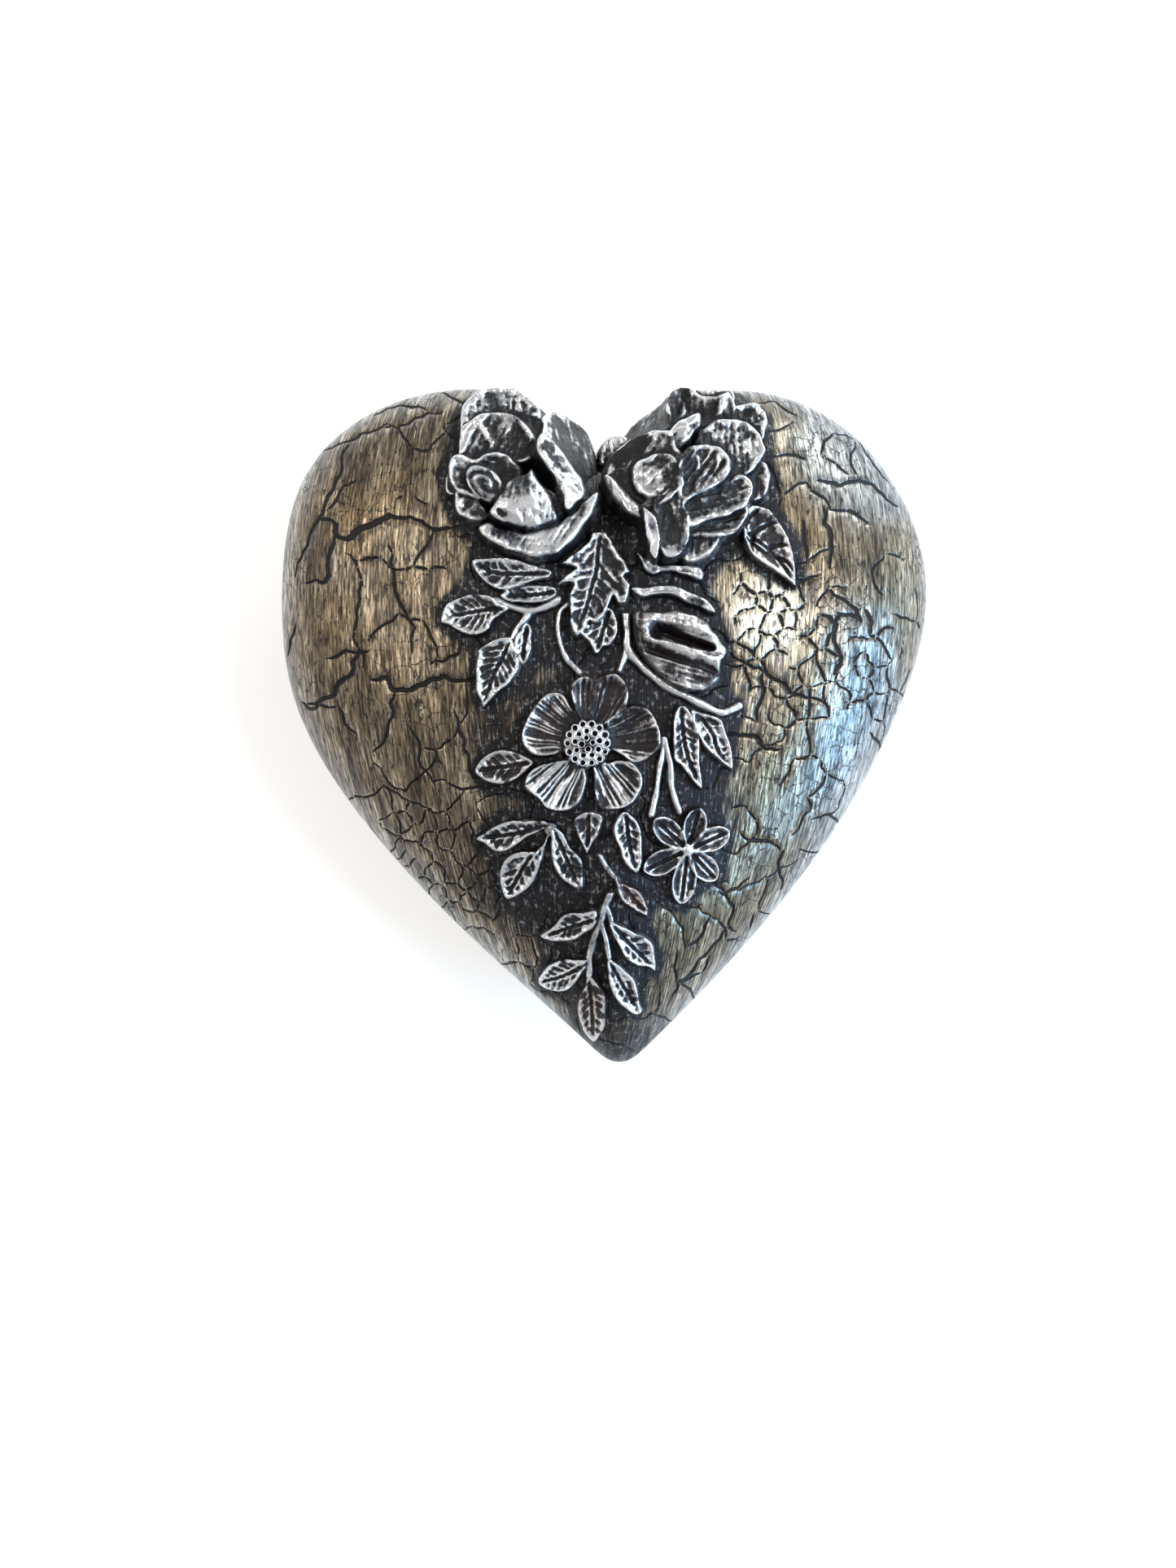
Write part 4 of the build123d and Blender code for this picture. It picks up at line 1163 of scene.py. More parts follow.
    def silvering(self):
        """Where the dry brush leaves its silvering: what stands proud of its neighbourhood, and how
        much of the even silvering is left on slopes and in hollows, where less of it also paints
        shade."""
        cell = 0.22 / self.step     # so that the reaches below don't depend on the grid
        held = np.maximum(self.top, self.skin - 0.3)
        close = held - soften(held, 2.2 * cell)
        wide = held - soften(held, 7.0 * cell)
        fall_y, fall_x = np.gradient(self.top - self.skin, self.step)
        facing = 1 / np.sqrt(1 + fall_x ** 2 + fall_y ** 2)
        open_face = swell((facing - 0.30) / 0.40)
        patchy = 0.20 + 1.05 * swell(2.0 * patchwork(self.x, self.y, 2.0, shift=8) - 0.45)
        rub = np.clip(0.04 + 1.55 * close + 0.22 * wide, 0, 1) * open_face * patchy
        rub += 0.34 * (1 - open_face) * swell(2.2 * patchwork(self.x, self.y, 2.8, shift=12) - 0.7)
        # Less of the even silvering in hollows and beside higher neighbours: partly the dry brush
        # missing them, partly painted shade.
        unbrushed_and_shaded_hollow = swell(1.0 + 0.70 * wide) * swell(0.75 + 2.2 * close)
        return rub, self.pale * open_face * unbrushed_and_shaded_hollow

    def finish(self):
        """Smooths the top, closes it a little under the lid's skin and makes the piece."""
        self.top = self.top + 0.05 * (patchwork(self.x, self.y, 0.5, shift=5) - 0.5)
        raised = self.top > self.skin - skirt_depth
        self.top = np.where(raised, soften(self.top, 0.75), self.top)
        self.top = np.minimum(self.top, self.ceiling)
        rub, pale = self.silvering()
        rows, columns = self.top.shape
        below = rows * columns
        standing = self.top > self.skin - skirt_depth + 0.05
        kept = standing[:-1, :-1] | standing[1:, :-1] | standing[:-1, 1:] | standing[1:, 1:]
        number = np.arange(below).reshape(rows, columns)
        corners = np.stack([number[:-1, :-1], number[:-1, 1:], number[1:, 1:], number[1:, :-1]],
                           axis=-1)
        quads = corners[kept]
        under = quads[:, ::-1] + below
        faces = [tuple(quad) for quad in quads.tolist()] + [tuple(quad) for quad in under.tolist()]
        framed = np.pad(kept, 1)
        sides = [(framed[:-2, 1:-1], 0, 1), (framed[1:-1, 2:], 1, 2),
                 (framed[2:, 1:-1], 2, 3), (framed[1:-1, :-2], 3, 0)]
        for neighbour, first, second in sides:
            open_edge = corners[kept & ~neighbour]
            for a, b in zip(open_edge[:, first].tolist(), open_edge[:, second].tolist()):
                faces.append((b, a, a + below, b + below))
        bottom = np.minimum(self.skin - skirt_depth - buried, self.top - 0.1)
        x = (self.x + lid_middle.x).ravel()
        y = (self.y + lid_middle.y).ravel()
        points = np.concatenate([np.stack([x, y, self.top.ravel()], axis=1),
                                 np.stack([x, y, bottom.ravel()], axis=1)])
        used = np.unique(np.concatenate([quads.ravel(), under.ravel()]))
        renumber = np.zeros(len(points), dtype=np.int64)
        renumber[used] = np.arange(len(used))
        faces = [tuple(int(renumber[i]) for i in face) for face in faces]
        piece = new_piece(self.node_name + "_casting", points[used], faces)
        for name, field in (("rub", rub), ("pale", pale), ("blush", self.blush)):
            both = np.concatenate([field.ravel(), np.zeros(field.size)])
            set_mask(piece, name, both[used])
        piece.data.materials.append(silvered_relief)
        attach(piece, "lid")
        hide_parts(self.node_name)
        over = (standing & (self.top > self.skin)).ravel()
        column = np.round((x[over] - ground_x[0]) / ground_step).astype(int)
        row = np.round((y[over] - ground_y[0]) / ground_step).astype(int)
        coverage[row, column] = 1.0


rose = Casting("rose_left", 0.2)
rose.petal([(-31.5, 66), (-29.5, 70.5), (-26, 73), (-21, 73.5), (-16.5, 71), (-13.5, 66),
            (-14, 60), (-20, 57), (-28, 58), (-31, 61.5)], 3.6, dip=0.5, pale=0.35, lumps=0.35)
rose.petal([(-13.5, 63), (-12.5, 69), (-8, 70.5), (-4, 69), (-2.3, 63), (-1.7, 54), (-2.2, 48),
            (-5.5, 48), (-9, 53), (-12.5, 58)], 5.6, lip=0.8, lip_width=1.0, dip=1.2, pale=0.1,
           streaks=0.25, streak_turn=100)
rose.ridge([(-4.6, 64), (-3.4, 58), (-3.2, 52)], 0.6, 0.8, 0.5)
rose.petal([(-31, 60.5), (-29.5, 63.5), (-26.5, 65.5), (-21, 65.8), (-17, 63.5), (-14, 59),
            (-15, 55), (-21, 54), (-26, 54.5), (-30.5, 55.5)], 5.2, dip=0.9, streaks=0.22,
           streak_turn=60, lumps=0.15)
rose.ridge([(-28, 65), (-25.5, 61), (-23, 57)], 1.1, 0.9, 0.7)
rose.ridge([(-18.5, 64), (-16.6, 61), (-15, 58)], 1.2, 0.8, 0.7)
rose.petal([(-34, 50), (-33, 52), (-31.5, 51), (-30.5, 48.8), (-31.5, 47.2), (-33.5, 47.8)], 4.6,
           lip=0.2, dip=0.0, pale=0.9)
rose.petal([(-31.7, 47), (-30.3, 48.6), (-28, 47), (-26, 44.5), (-24.5, 42.3), (-26, 41),
            (-29, 41.4), (-31.2, 43.5)], 5.2, lip=0.7, dip=0.9, pale=0.35, streaks=0.2,
           streak_turn=40)
rose.petal([(-32.5, 54.5), (-30, 55.4), (-27.5, 54.6), (-24.5, 56), (-22, 56), (-19.5, 54.5),
            (-17.6, 52), (-18.5, 49), (-22, 46.5), (-27, 45.5), (-31, 47.5), (-33, 50.5)], 6.3,
           lip=1.0, lip_width=0.55, dip=2.2, streaks=0.15, streak_turn=-10)
rose.bud((-24.9, 48.8), 4.9, 3.2, -42, 7.2, turns=1.9, lean=(-0.12, 0.05))
rose.petal([(-26.5, 39.8), (-25.5, 38), (-22.8, 35.9), (-19.5, 34.3), (-15.5, 33.4), (-10.8, 33.6),
            (-7.4, 36), (-4.6, 39.5), (-2.4, 43.5), (-1.5, 47.3), (-3.8, 46), (-6.6, 43.2),
            (-10, 40.8), (-14, 39.2), (-17.8, 38.6), (-21.5, 39.2), (-24.3, 40.8)], 5.6,
           lean=(0.0, -0.10), lip=0.30, lip_width=0.9, dip=-0.2, pale=0.62, streaks=0.08,
           streak_turn=60, shoulder=1.2, lumps=0.12)
rose.petal([(-23.6, 41.6), (-20, 41.2), (-14.5, 40.6), (-9.5, 41.6), (-8, 44), (-12, 48),
            (-20, 48)], 5.4, lip=0.0, dip=0.3, streaks=0.25, streak_turn=0)
rose.petal([(-14.6, 56), (-13.7, 59), (-12, 60.2), (-10.2, 57.8), (-7.6, 53.4), (-5.2, 50.5),
            (-4.0, 47.6), (-5.8, 44.8), (-8.2, 42.8), (-9.2, 46), (-11, 49.6), (-13.2, 52.6)], 9.4,
           lip=0.3, dip=0.0, pale=0.55, streaks=0.06, streak_turn=125,
           fold=([(-13.6, 57.4), (-12.6, 54), (-10.2, 50.4), (-8.7, 47.2), (-8.1, 43.4)],
                 0.28, 0.75))
rose.petal([(-23.6, 42), (-23.2, 44.4), (-21, 47), (-20.4, 49), (-18.6, 50.4), (-16.6, 51),
            (-15.3, 52.2), (-14.2, 50), (-12, 47), (-10.6, 44), (-9.8, 41.4), (-12, 39.8),
            (-16, 39.4), (-20, 39.8)], 7.8, lip=0.2, dip=-2.4, pale=0.62, streaks=0.05,
           streak_turn=80, shoulder=1.6)
rose.groove([(-22.9, 43.2), (-21.4, 41.8), (-20.4, 40.2)], 0.20, 0.6)
rose.ridge([(-21.6, 45.6), (-19.4, 43.4), (-17.4, 40.6)], 0.55, 0.5, 0.5)
rose.finish()


# ---- Rose on the right lobe
# The fuller of the two castings: folded petals round its heart, a smooth cupped petal with a
# rolled lip at the left, and a skirt of wavy petals behind and below.

rose = Casting("rose_right", 0.2)
rose.petal([(26.5, 64.5), (28, 68), (31, 69.3), (34, 68.5), (35.3, 65.5), (34.6, 62), (32.5, 60),
            (29, 61.5)], 3.2, lip=0.4, dip=0.3, lumps=0.6)
rose.petal([(-1.4, 61.5), (-1, 65), (0.6, 67), (3, 67.6), (5.8, 66.5), (6.5, 62), (4.5, 58.5),
            (1.5, 58.8)], 3.4, lip=0.2, dip=-0.9, pale=0.75, streaks=0.18, streak_turn=100)
rose.petal([(3.5, 66), (5.5, 69.5), (8.5, 72), (12.5, 73.8), (16, 73), (17.5, 67), (13.5, 63.5),
            (8.5, 63), (5, 62.5)], 3.4, lip=0.4, dip=0.6, pale=0.15, streaks=0.30,
           streak_turn=70, lumps=0.15)
rose.petal([(20, 74), (22, 75.2), (25, 75.2), (28, 74.6), (28.6, 71), (26, 68), (21.5, 69)], 3.0,
           lip=0.3, dip=0.0, pale=0.25, lumps=0.2)
rose.petal([(13.2, 68), (14, 71.8), (16, 74), (18.6, 74), (21, 71.6), (24, 71.2), (27, 72.4),
            (28.4, 69), (27.4, 65.4), (24, 63.6), (19, 63.2), (15, 64.2)], 4.2, lip=1.1,
           lip_width=0.6, dip=2.4, pale=0.15, streaks=0.2)
rose.ridge([(25.8, 72), (25.4, 69), (24.2, 65.8)], 1.9, 1.0, 0.9)
rose.petal([(28.6, 51.5), (31, 54), (33.6, 54), (34.6, 51), (34, 47.6), (31.4, 45.8),
            (28.4, 46.8)], 4.4, lip=0.7, lip_width=0.5)
rose.petal([(16.3, 37.6), (19, 38.2), (23.2, 38.2), (23.2, 36.4), (21.6, 34), (19.2, 32.6),
            (16.4, 32.6), (15.2, 34)], 4.4, lean=(0.05, -0.1), lip_width=0.6, dip=0.5, pale=0.5)
rose.petal([(16.2, 39.8), (20.5, 41.4), (24.5, 43), (28.7, 45), (29.4, 43), (28.2, 40),
            (26, 38.2), (23, 37.4), (19.2, 37.4), (16.6, 37.6)], 5.6, lean=(0.02, -0.16), lip=0.8,
           lip_width=0.55, dip=1.0, pale=0.15, streaks=0.12, streak_turn=10)
rose.petal([(15.2, 44), (19, 46.6), (23.5, 49), (27.6, 50.8), (30, 49.6), (30.4, 46.8), (29, 43.8),
            (25.5, 42.2), (21.5, 40.6), (17.5, 39.4), (15.6, 40.6)], 6.8, lean=(0.03, -0.14),
           dip=0.9, pale=0.48, streaks=0.18, streak_turn=15, lumps=0.3)
rose.petal([(19, 58), (20.5, 61.6), (23.4, 63.4), (26.5, 63.6), (29.3, 62.8), (31.8, 61),
            (33.2, 58.6), (33.2, 55.6), (31.8, 53), (28.5, 50.6), (25, 49), (21, 50.5)], 6.6,
           lip_width=0.9, pale=0.72, streaks=0.14, lumps=0.32)
rose.ridge([(33, 58.8), (32.4, 55.4), (29.5, 52.4)], 0.5, 0.9, 0.8)
rose.petal([(0, 52), (1, 56.4), (3.4, 59), (7, 60.8), (10.5, 61.4), (13.4, 60.8), (14.6, 57.6),
            (15.6, 54.4), (16.2, 51), (15.6, 47.6), (12.6, 44.8), (8.5, 43.6), (4.5, 45.6),
            (1.4, 48.4)], 7.0, lean=(0.06, -0.02), lip_width=0.6, dip=0.9, pale=0.62, streaks=0.16,
           streak_turn=60, lumps=0.32)
rose.petal([(5.4, 52), (7.4, 54.4), (10.6, 55.6), (13.6, 55), (15.6, 52.6), (16, 49.4),
            (14.8, 46.6), (12, 45.2), (8.6, 45.6), (6, 48)], 7.9, lean=(0.14, 0.02), lip_width=0.6,
           dip=0.4, pale=0.70, streaks=0.14, streak_turn=40, lumps=0.25, shoulder=1.6)
rose.petal([(-0.2, 51.6), (0.6, 48), (2.4, 45), (4.8, 42.8), (7.4, 41.2), (9.8, 39.4),
            (10.6, 41.4), (8.4, 43.8), (5.6, 46), (3.4, 48.8), (1.6, 51.4)], 7.5, lip=0.0, dip=-1.1,
           pale=0.70, shoulder=1.0, lean=(0.05, 0.0))
rose.petal([(9.6, 44.4), (10.8, 46.8), (13.2, 47.4), (15.2, 45), (16.8, 42), (17.2, 38.8),
            (16.6, 35.8), (15.2, 33.6), (13, 32.7), (11.2, 34.1), (10.4, 37), (9.8, 41)], 7.1,
           lean=(0.07, -0.11), lip=0.3, lip_width=0.5, dip=1.0, pale=-0.22, streaks=0.16,
           lumps=0.2)
rose.ridge([(10.6, 46), (13, 45), (15, 42), (15.2, 38)], 0.3, 1.5, 0.62)
rose.ridge([(15.6, 44.6), (17, 41), (16.6, 36.4), (15, 33)], 0.6, 0.45, 0.8)
rose.petal([(7.2, 43.6), (9.0, 42.6), (10.3, 40.2), (10.9, 37.4), (10.7, 34.8), (10.1, 32.4),
            (9.2, 34.0), (8.3, 37.0), (7.8, 40.2)], 8.0, lip=0.0, dip=-0.9, pale=0.70, shoulder=0.9)
rose.petal([(14.8, 52.6), (16.4, 55.4), (18.4, 57), (21.4, 56.8), (24, 55.6), (25.6, 53.6),
            (25.6, 51), (24, 48.6), (21, 46.8), (18, 45.2), (15, 43.6), (14.4, 47.6)], 8.8,
           lean=(0.03, 0.02), lip=0.6, lip_width=0.5, dip=1.5, pale=0.40, streaks=0.3,
           streak_turn=55, lumps=0.32)
rose.ridge([(24.4, 55), (24.9, 52.2), (23.4, 49.4)], 0.9, 0.5, 0.8)
rose.ridge([(22.6, 55.4), (23, 52.4), (21.6, 50)], 0.7, 0.4, 0.5)
rose.ridge([(18.8, 55), (19, 52), (17.6, 49.4)], 0.7, 0.4, 0.4)
rose.petal([(11.4, 56), (13, 59.8), (15.4, 63), (18, 64.8), (20.2, 64.8), (20, 62), (18.4, 60),
            (16.8, 57.6), (14.4, 55.6)], 8.2, lean=(0.0, 0.04), lip=0.0, dip=-1.1, pale=0.75,
           streak_turn=55, shoulder=0.9)
rose.finish()


# ---- Five-petalled flower
# The open flower in the middle of the lid, cast with ribbed cupped petals, and a raised seed disc
# pricked with two rings of pits. Small separate seed rings are set round the pits.

flower = Casting("large_flower", 0.18)
flower_middle = np.array([-3.9, -5.0])
disc_radius = 4.9
disc_height = 4.3
disc_fall = 0.028


def flower_petal(piece, middle, outline, height, ribs, bright, blush):
    """One petal round a flower's middle, with raised ribs that fan out along it."""
    loop = middle + 0.965 * (smooth_line(outline, closed=True, parts=6) - middle)
    inside = inside_outline(piece.x, piece.y, loop)
    ahead = loop.mean(axis=0) - middle
    outer = float(np.hypot(*(loop - middle).T).max())
    ahead = ahead / float(np.hypot(*ahead))
    off_x, off_y = piece.x - middle[0], piece.y - middle[1]
    far = off_x * ahead[0] + off_y * ahead[1]
    across = off_y * ahead[0] - off_x * ahead[1]
    fan = np.arctan2(across, np.maximum(far, 0.3) + 0.18 * outer)
    reach = np.clip(far / outer, 0, 1)
    surface = piece.skin + height * (0.60 + 0.40 * reach)
    surface -= 0.9 * swell(inside / 2.8) * swell(reach / 0.5)
    uneven = patchwork(piece.x, piece.y, 2.6, shift=height + bright)
    surface += 0.45 * np.exp(-((inside - 0.30) / 0.32) ** 2) * (0.2 + 0.8 * uneven)
    spacing = 0.25 * np.sin(fan * 23.0 + height + bright * 9.0)
    beat = 0.5 + 0.5 * np.cos((fan + 0.10 * spacing) * ribs * 8.0 + 3.4 * spacing
                              + 3.0 * patchwork(piece.x, piece.y, 3.4, shift=4))
    beat = beat * (0.55 + 0.75 * patchwork(piece.x, piece.y, 1.7, shift=height + 9))
    fade = swell((inside - 0.2) / 0.8)
    fine_beat = np.cos(fan * ribs * 15.0 + 4.0 * patchwork(piece.x, piece.y, 2.2, shift=6))
    surface += (0.46 * (beat - 0.45) + 0.12 * fine_beat) * fade
    surface += 0.12 * (patchwork(piece.x, piece.y, 0.6, shift=height) - 0.5)
    broad = patchwork(piece.x, piece.y, 4.2, shift=bright + 3)
    pale = bright * (0.25 + 0.95 * beat) * (0.45 + 1.0 * broad)
    tint = blush * swell((reach - 0.25) / 0.5) * (0.4 + 0.6 * uneven)
    piece.lay(inside, surface, pale, tint, shoulder=0.25)


for outline, height, ribs, bright, blush in (
        ([(0.5, 0), (2.5, 1), (5, 3), (8, 3), (10, 1.5), (11.5, -1.5), (12, -4.5), (11, -6.5),
          (8.5, -8.5), (6, -9), (3.5, -7.5), (0, -5)], 3.1, 7, 0.50, 0.25),
        ([(-5, -5), (-9, -6.5), (-11.5, -7.5), (-15, -7.5), (-17.5, -5.5), (-18, -3), (-17, 0),
          (-15.5, 2.5), (-13.5, 5), (-11.5, 6), (-9, 5.5), (-7.5, 3), (-6, 1)],
         2.9, 8, 0.85, 0.55),
        ([(-3, -7), (0, -9), (2.5, -8.5), (5.5, -9), (7.5, -11), (8, -13.5), (7, -16), (5.5, -18),
          (3, -19), (0, -19), (-1.5, -18), (-2.5, -15), (-2.5, -12)], 2.9, 7, 0.80, 0.1),
        ([(-4.5, -8), (-4.5, -10), (-4, -12.5), (-4.5, -15.2), (-5.5, -17.4), (-7.5, -19.1),
          (-10, -19.5), (-12.8, -18.8), (-14.2, -17), (-15.7, -15.8), (-17.3, -14.2), (-17, -12),
          (-15, -10), (-12, -9), (-9, -8.5)], 3.1, 8, 1.25, 0.0),
        ([(-3, -3), (-6, 1), (-7.5, 6.5), (-6.5, 8.5), (-4.5, 9.5), (-2.5, 8.8), (-0.5, 9.5),
          (2, 10), (4, 8.5), (5, 6), (4.5, 3), (2.5, 1), (0, -1)], 3.3, 6, 0.35, 0.65)):
    flower_petal(flower, flower_middle, outline, height, ribs, bright, blush)
disc_out = np.hypot(flower.x - flower_middle[0], flower.y - flower_middle[1])
disc_turn = np.arctan2(flower.y - flower_middle[1], flower.x - flower_middle[0])
disc_top = flower.skin + disc_height - disc_fall * disc_out ** 2
seed_places = []
for count, ring_radius, pit_size, shift in ((14, 4.05, 0.60, 0.0), (9, 2.55, 0.55, 0.3),
                                            (4, 1.15, 0.50, 0.1)):
    for pit in range(count):
        angle = 2 * math.pi * (pit + shift) / count
        place = flower_middle + ring_radius * np.array([math.cos(angle), math.sin(angle)])
        gap = np.hypot(flower.x - place[0], flower.y - place[1])
        disc_top = disc_top - 1.3 * np.exp(-(gap / pit_size) ** 4)
        seed_places.append(place)
disc_pale = 0.85 * swell((disc_out - 1.2) / 1.6) * (0.5 + 0.8 * patchwork(flower.x, flower.y, 1.8))
flower.lay(disc_radius + 0.25 * np.sin(15 * disc_turn) - disc_out, disc_top, disc_pale, 0.2,
           shoulder=0.8)
flower.finish()


def seed_tree():
    """Sets one small ring on each point, with its size and tilt varied by the seed."""
    tree, start, end = new_group(
        "seed_rings", {"Geometry": "Geometry", "Ring Radius": "Float", "Lip Thickness": "Float",
                       "Seed": "Int", "Finish": "Material"},
        {"Geometry": "Geometry"}, "GeometryNodeTree")
    ring = add_node(tree, "GeometryNodeCurvePrimitiveCircle",
                    {"Resolution": 20, "Radius": start.outputs["Ring Radius"]})
    section = add_node(tree, "GeometryNodeCurvePrimitiveCircle",
                       {"Resolution": 8, "Radius": start.outputs["Lip Thickness"]})
    lip = add_node(tree, "GeometryNodeCurveToMesh",
                   {"Curve": ring.outputs["Curve"], "Profile Curve": section.outputs["Curve"]})
    tilt = add_node(tree, "FunctionNodeRandomValue",
                    {"Seed": start.outputs["Seed"], 0: (-0.25, -0.25, 0.0), 1: (0.25, 0.25, 3.0)},
                    data_type="FLOAT_VECTOR")
    size = add_node(tree, "FunctionNodeRandomValue",
                    {"Seed": start.outputs["Seed"], 2: 0.85, 3: 1.12}, data_type="FLOAT")
    placed = add_node(tree, "GeometryNodeInstanceOnPoints",
                      {"Points": start.outputs["Geometry"], "Instance": lip.outputs["Mesh"],
                       "Rotation": tilt.outputs[0], "Scale": size.outputs[1]})
    real = add_node(tree, "GeometryNodeRealizeInstances", {"Geometry": placed.outputs[0]})
    painted = add_node(tree, "GeometryNodeSetMaterial",
                       {"Geometry": real.outputs[0], "Material": start.outputs["Finish"]})
    tree.links.new(painted.outputs[0], end.inputs["Geometry"])
    return tree


seed_x, seed_y = np.array(seed_places).T
seed_out = np.hypot(seed_x - flower_middle[0], seed_y - flower_middle[1])
seed_x = seed_x + lid_middle.x
seed_y = seed_y + lid_middle.y
seed_sink = 0.22
seed_z = read_grid(ground, seed_x, seed_y) + disc_height - disc_fall * seed_out ** 2 - seed_sink
seeds = bpy.data.meshes.new("seed_places")
seeds.from_pydata((np.stack([seed_x, seed_y, seed_z], axis=1) * 0.001).tolist(), [], [])
seed_maker = bpy.data.objects.new("seed_maker", seeds)
bpy.context.scene.collection.objects.link(seed_maker)
rings = seed_maker.modifiers.new("seed_rings", "NODES")
rings.node_group = seed_tree()
seed_inputs = {"Ring Radius": 0.00066, "Lip Thickness": 0.00013, "Seed": 5,
               "Finish": silvered_relief}
for item in rings.node_group.interface.items_tree:
    if item.in_out == "INPUT" and item.name in seed_inputs:
        rings[item.identifier] = seed_inputs[item.name]
made = bpy.data.meshes.new_from_object(
    seed_maker.evaluated_get(bpy.context.evaluated_depsgraph_get()))
bpy.data.objects.remove(seed_maker)
seed_rings = bpy.data.objects.new("flower_seed_rings", made)
bpy.context.scene.collection.objects.link(seed_rings)
made.polygons.foreach_set("use_smooth", [True] * len(made.polygons))
for mask, value in (("rub", 0.75), ("pale", 0.35), ("blush", 0.0)):
    set_mask(seed_rings, mask, np.full(len(made.vertices), value))
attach(seed_rings, "lid")


# ---- Six-petalled flower
# A small flower with narrow pointed petals, each with a thin bright edge round a dark dish and a
# fine line down its middle.

def blade(start, end, width, full=0.6):
    """The outline and midrib of a pointed leaf from its stalk to its tip."""
    start, end = np.array(start, dtype=float), np.array(end, dtype=float)
    run = end - start
    side = np.array([-run[1], run[0]]) / float(np.hypot(*run))
    skew = math.log(0.5) / math.log(1 - full)
    left, right = [], []
    for share in (0.02, 0.2, 0.4, 0.6, 0.8, 0.93):
        half = 0.5 * width * math.sin(math.pi * (1 - (1 - share) ** skew)) ** 0.8
        left.append(start + run * share + side * half)
        right.append(start + run * share - side * half)
    return left + [end] + right[::-1], [start, start + 0.5 * run, end]


flower = Casting("small_flower", 0.18)
small_middle = (17.3, -27.2)
for bearing, length, width in ((-155, 10.4, 5.3), (138, 9.8, 5.2), (-46, 9.2, 5.2), (75, 9.2, 5.0),
                               (23, 9.8, 5.2), (-96, 11.8, 5.4)):
    angle = math.radians(bearing)
    tip = (small_middle[0] + length * math.cos(angle), small_middle[1] + length * math.sin(angle))
    outline, midline = blade(small_middle, tip, width)
    flower.leaf(outline, midline, 2.2, veins=0, pale=0.65, blush=0.10, edge=0.50, dish=0.85,
                inner_pale=0.03)
knob = np.hypot(flower.x - small_middle[0], flower.y - small_middle[1])
flower.lay(1.4 - knob, flower.skin + 2.9 - 0.35 * knob ** 2, 0.7)
flower.finish()


# ---- Serrated leaves
# Thin rose leaves cast with jagged edges: one beside the right rose, and a broad one between the
# roses with a leaflet below it.

leaf = Casting("rose_leaf_right")
leaf.leaf([(29.2, 44), (30.6, 45.6), (32.2, 45.2), (34.5, 44.5), (36.5, 42), (38.5, 38.5),
           (39.5, 35), (39.9, 31.5), (39.9, 28), (38, 29.5), (35, 31.5), (32.5, 33), (30.5, 34.5),
           (29.4, 36.6), (28.8, 38.6), (28.8, 41.6)],
          [(28.9, 41), (30, 39), (33.5, 36.5), (37, 33), (39.5, 29)], 2.3, veins=0, pale=0.60,
          blush=0.15, edge=1.3, dish=0.7, smooth=False)
for run in ([(30.5, 39), (33.5, 41), (36.5, 42)], [(34.5, 36.5), (37, 37), (38.5, 37)],
            [(29, 39), (31, 37), (34, 35), (37.5, 33.5)], [(29.4, 41), (30.4, 43), (32, 44.4)],
            [(36, 34.6), (38, 33.4), (39.4, 31.6)], [(31, 38.4), (30.6, 36.8), (30.8, 35.4)]):
    leaf.groove(run, 0.8, 0.36, taper=0.5)
leaf.finish()

leaf = Casting("centre_leaf")
leaf.leaf([(-5.5, 18), (-4.5, 19), (-2.5, 20.4), (-1.5, 21), (-0.5, 22.5), (1, 23), (2, 21.5),
           (2.5, 19), (2, 17), (0.5, 15.2), (-0.5, 15.2), (-2, 13.5), (-3, 15), (-3.5, 16),
           (-4.5, 17)],
          [(0.6, 22.4), (-0.6, 18.6), (-2, 13.6)], 2.2, veins=4, pale=0.8, blush=0.1, edge=0.8)
leaf.leaf([(-3, 39.5), (-3.5, 37.5), (-5.5, 35.5), (-7.5, 34), (-9.5, 32.3), (-7.5, 32),
           (-6, 31.5), (-8.5, 29.8), (-10, 28), (-7.5, 28.5), (-6.5, 28.2), (-7.5, 26),
           (-7.5, 23.5), (-7.5, 20.5), (-7, 18.5), (-6, 17), (-4.5, 18.5), (-3.5, 20.5),
           (-2, 20), (-0.5, 21.5), (0.5, 23.5), (1.5, 26), (2.5, 24), (4, 24), (4.5, 25.5),
           (5, 28), (3.5, 30), (5, 30.5), (4, 33), (2.5, 35), (1, 38), (0, 39.4)],
          [(-1, 39), (-1.5, 36.5), (-2, 31), (-3, 27.5), (-4, 23.5), (-6, 18.5)], 2.8, veins=8,
          pale=0.75, dish=0.65, smooth=False)
leaf.finish()

leaf = Casting("leaf_spray_left_upper")
leaf.leaf([(-22, 26), (-19, 27.5), (-15, 28), (-10.7, 27.5), (-10.5, 25.6), (-13.5, 24.4),
           (-17.5, 24.3), (-20.5, 24.7)],
          [(-10.4, 26.6), (-15, 26), (-21.4, 25.7)], 1.7, pale=0.40, edge=0.7,
          inner_pale=0.0)
leaf.leaf([(-27.8, 33.4), (-24.5, 33.8), (-20, 33.8), (-16, 32.5), (-11.5, 31), (-12, 29.4),
           (-14, 29), (-17.5, 28), (-21, 27), (-23.5, 27.5), (-26, 29.5), (-27.5, 31.5)],
          [(-12, 30.4), (-17.5, 30.4), (-23.5, 30.8), (-27.6, 33.2)], 2.1, veins=8, pale=0.75,
          edge=1.1)
leaf.finish()


# ---- Long sepal under the right rose
# A wavy sepal that curls up along its edge and shows under the rose's lowest petals.

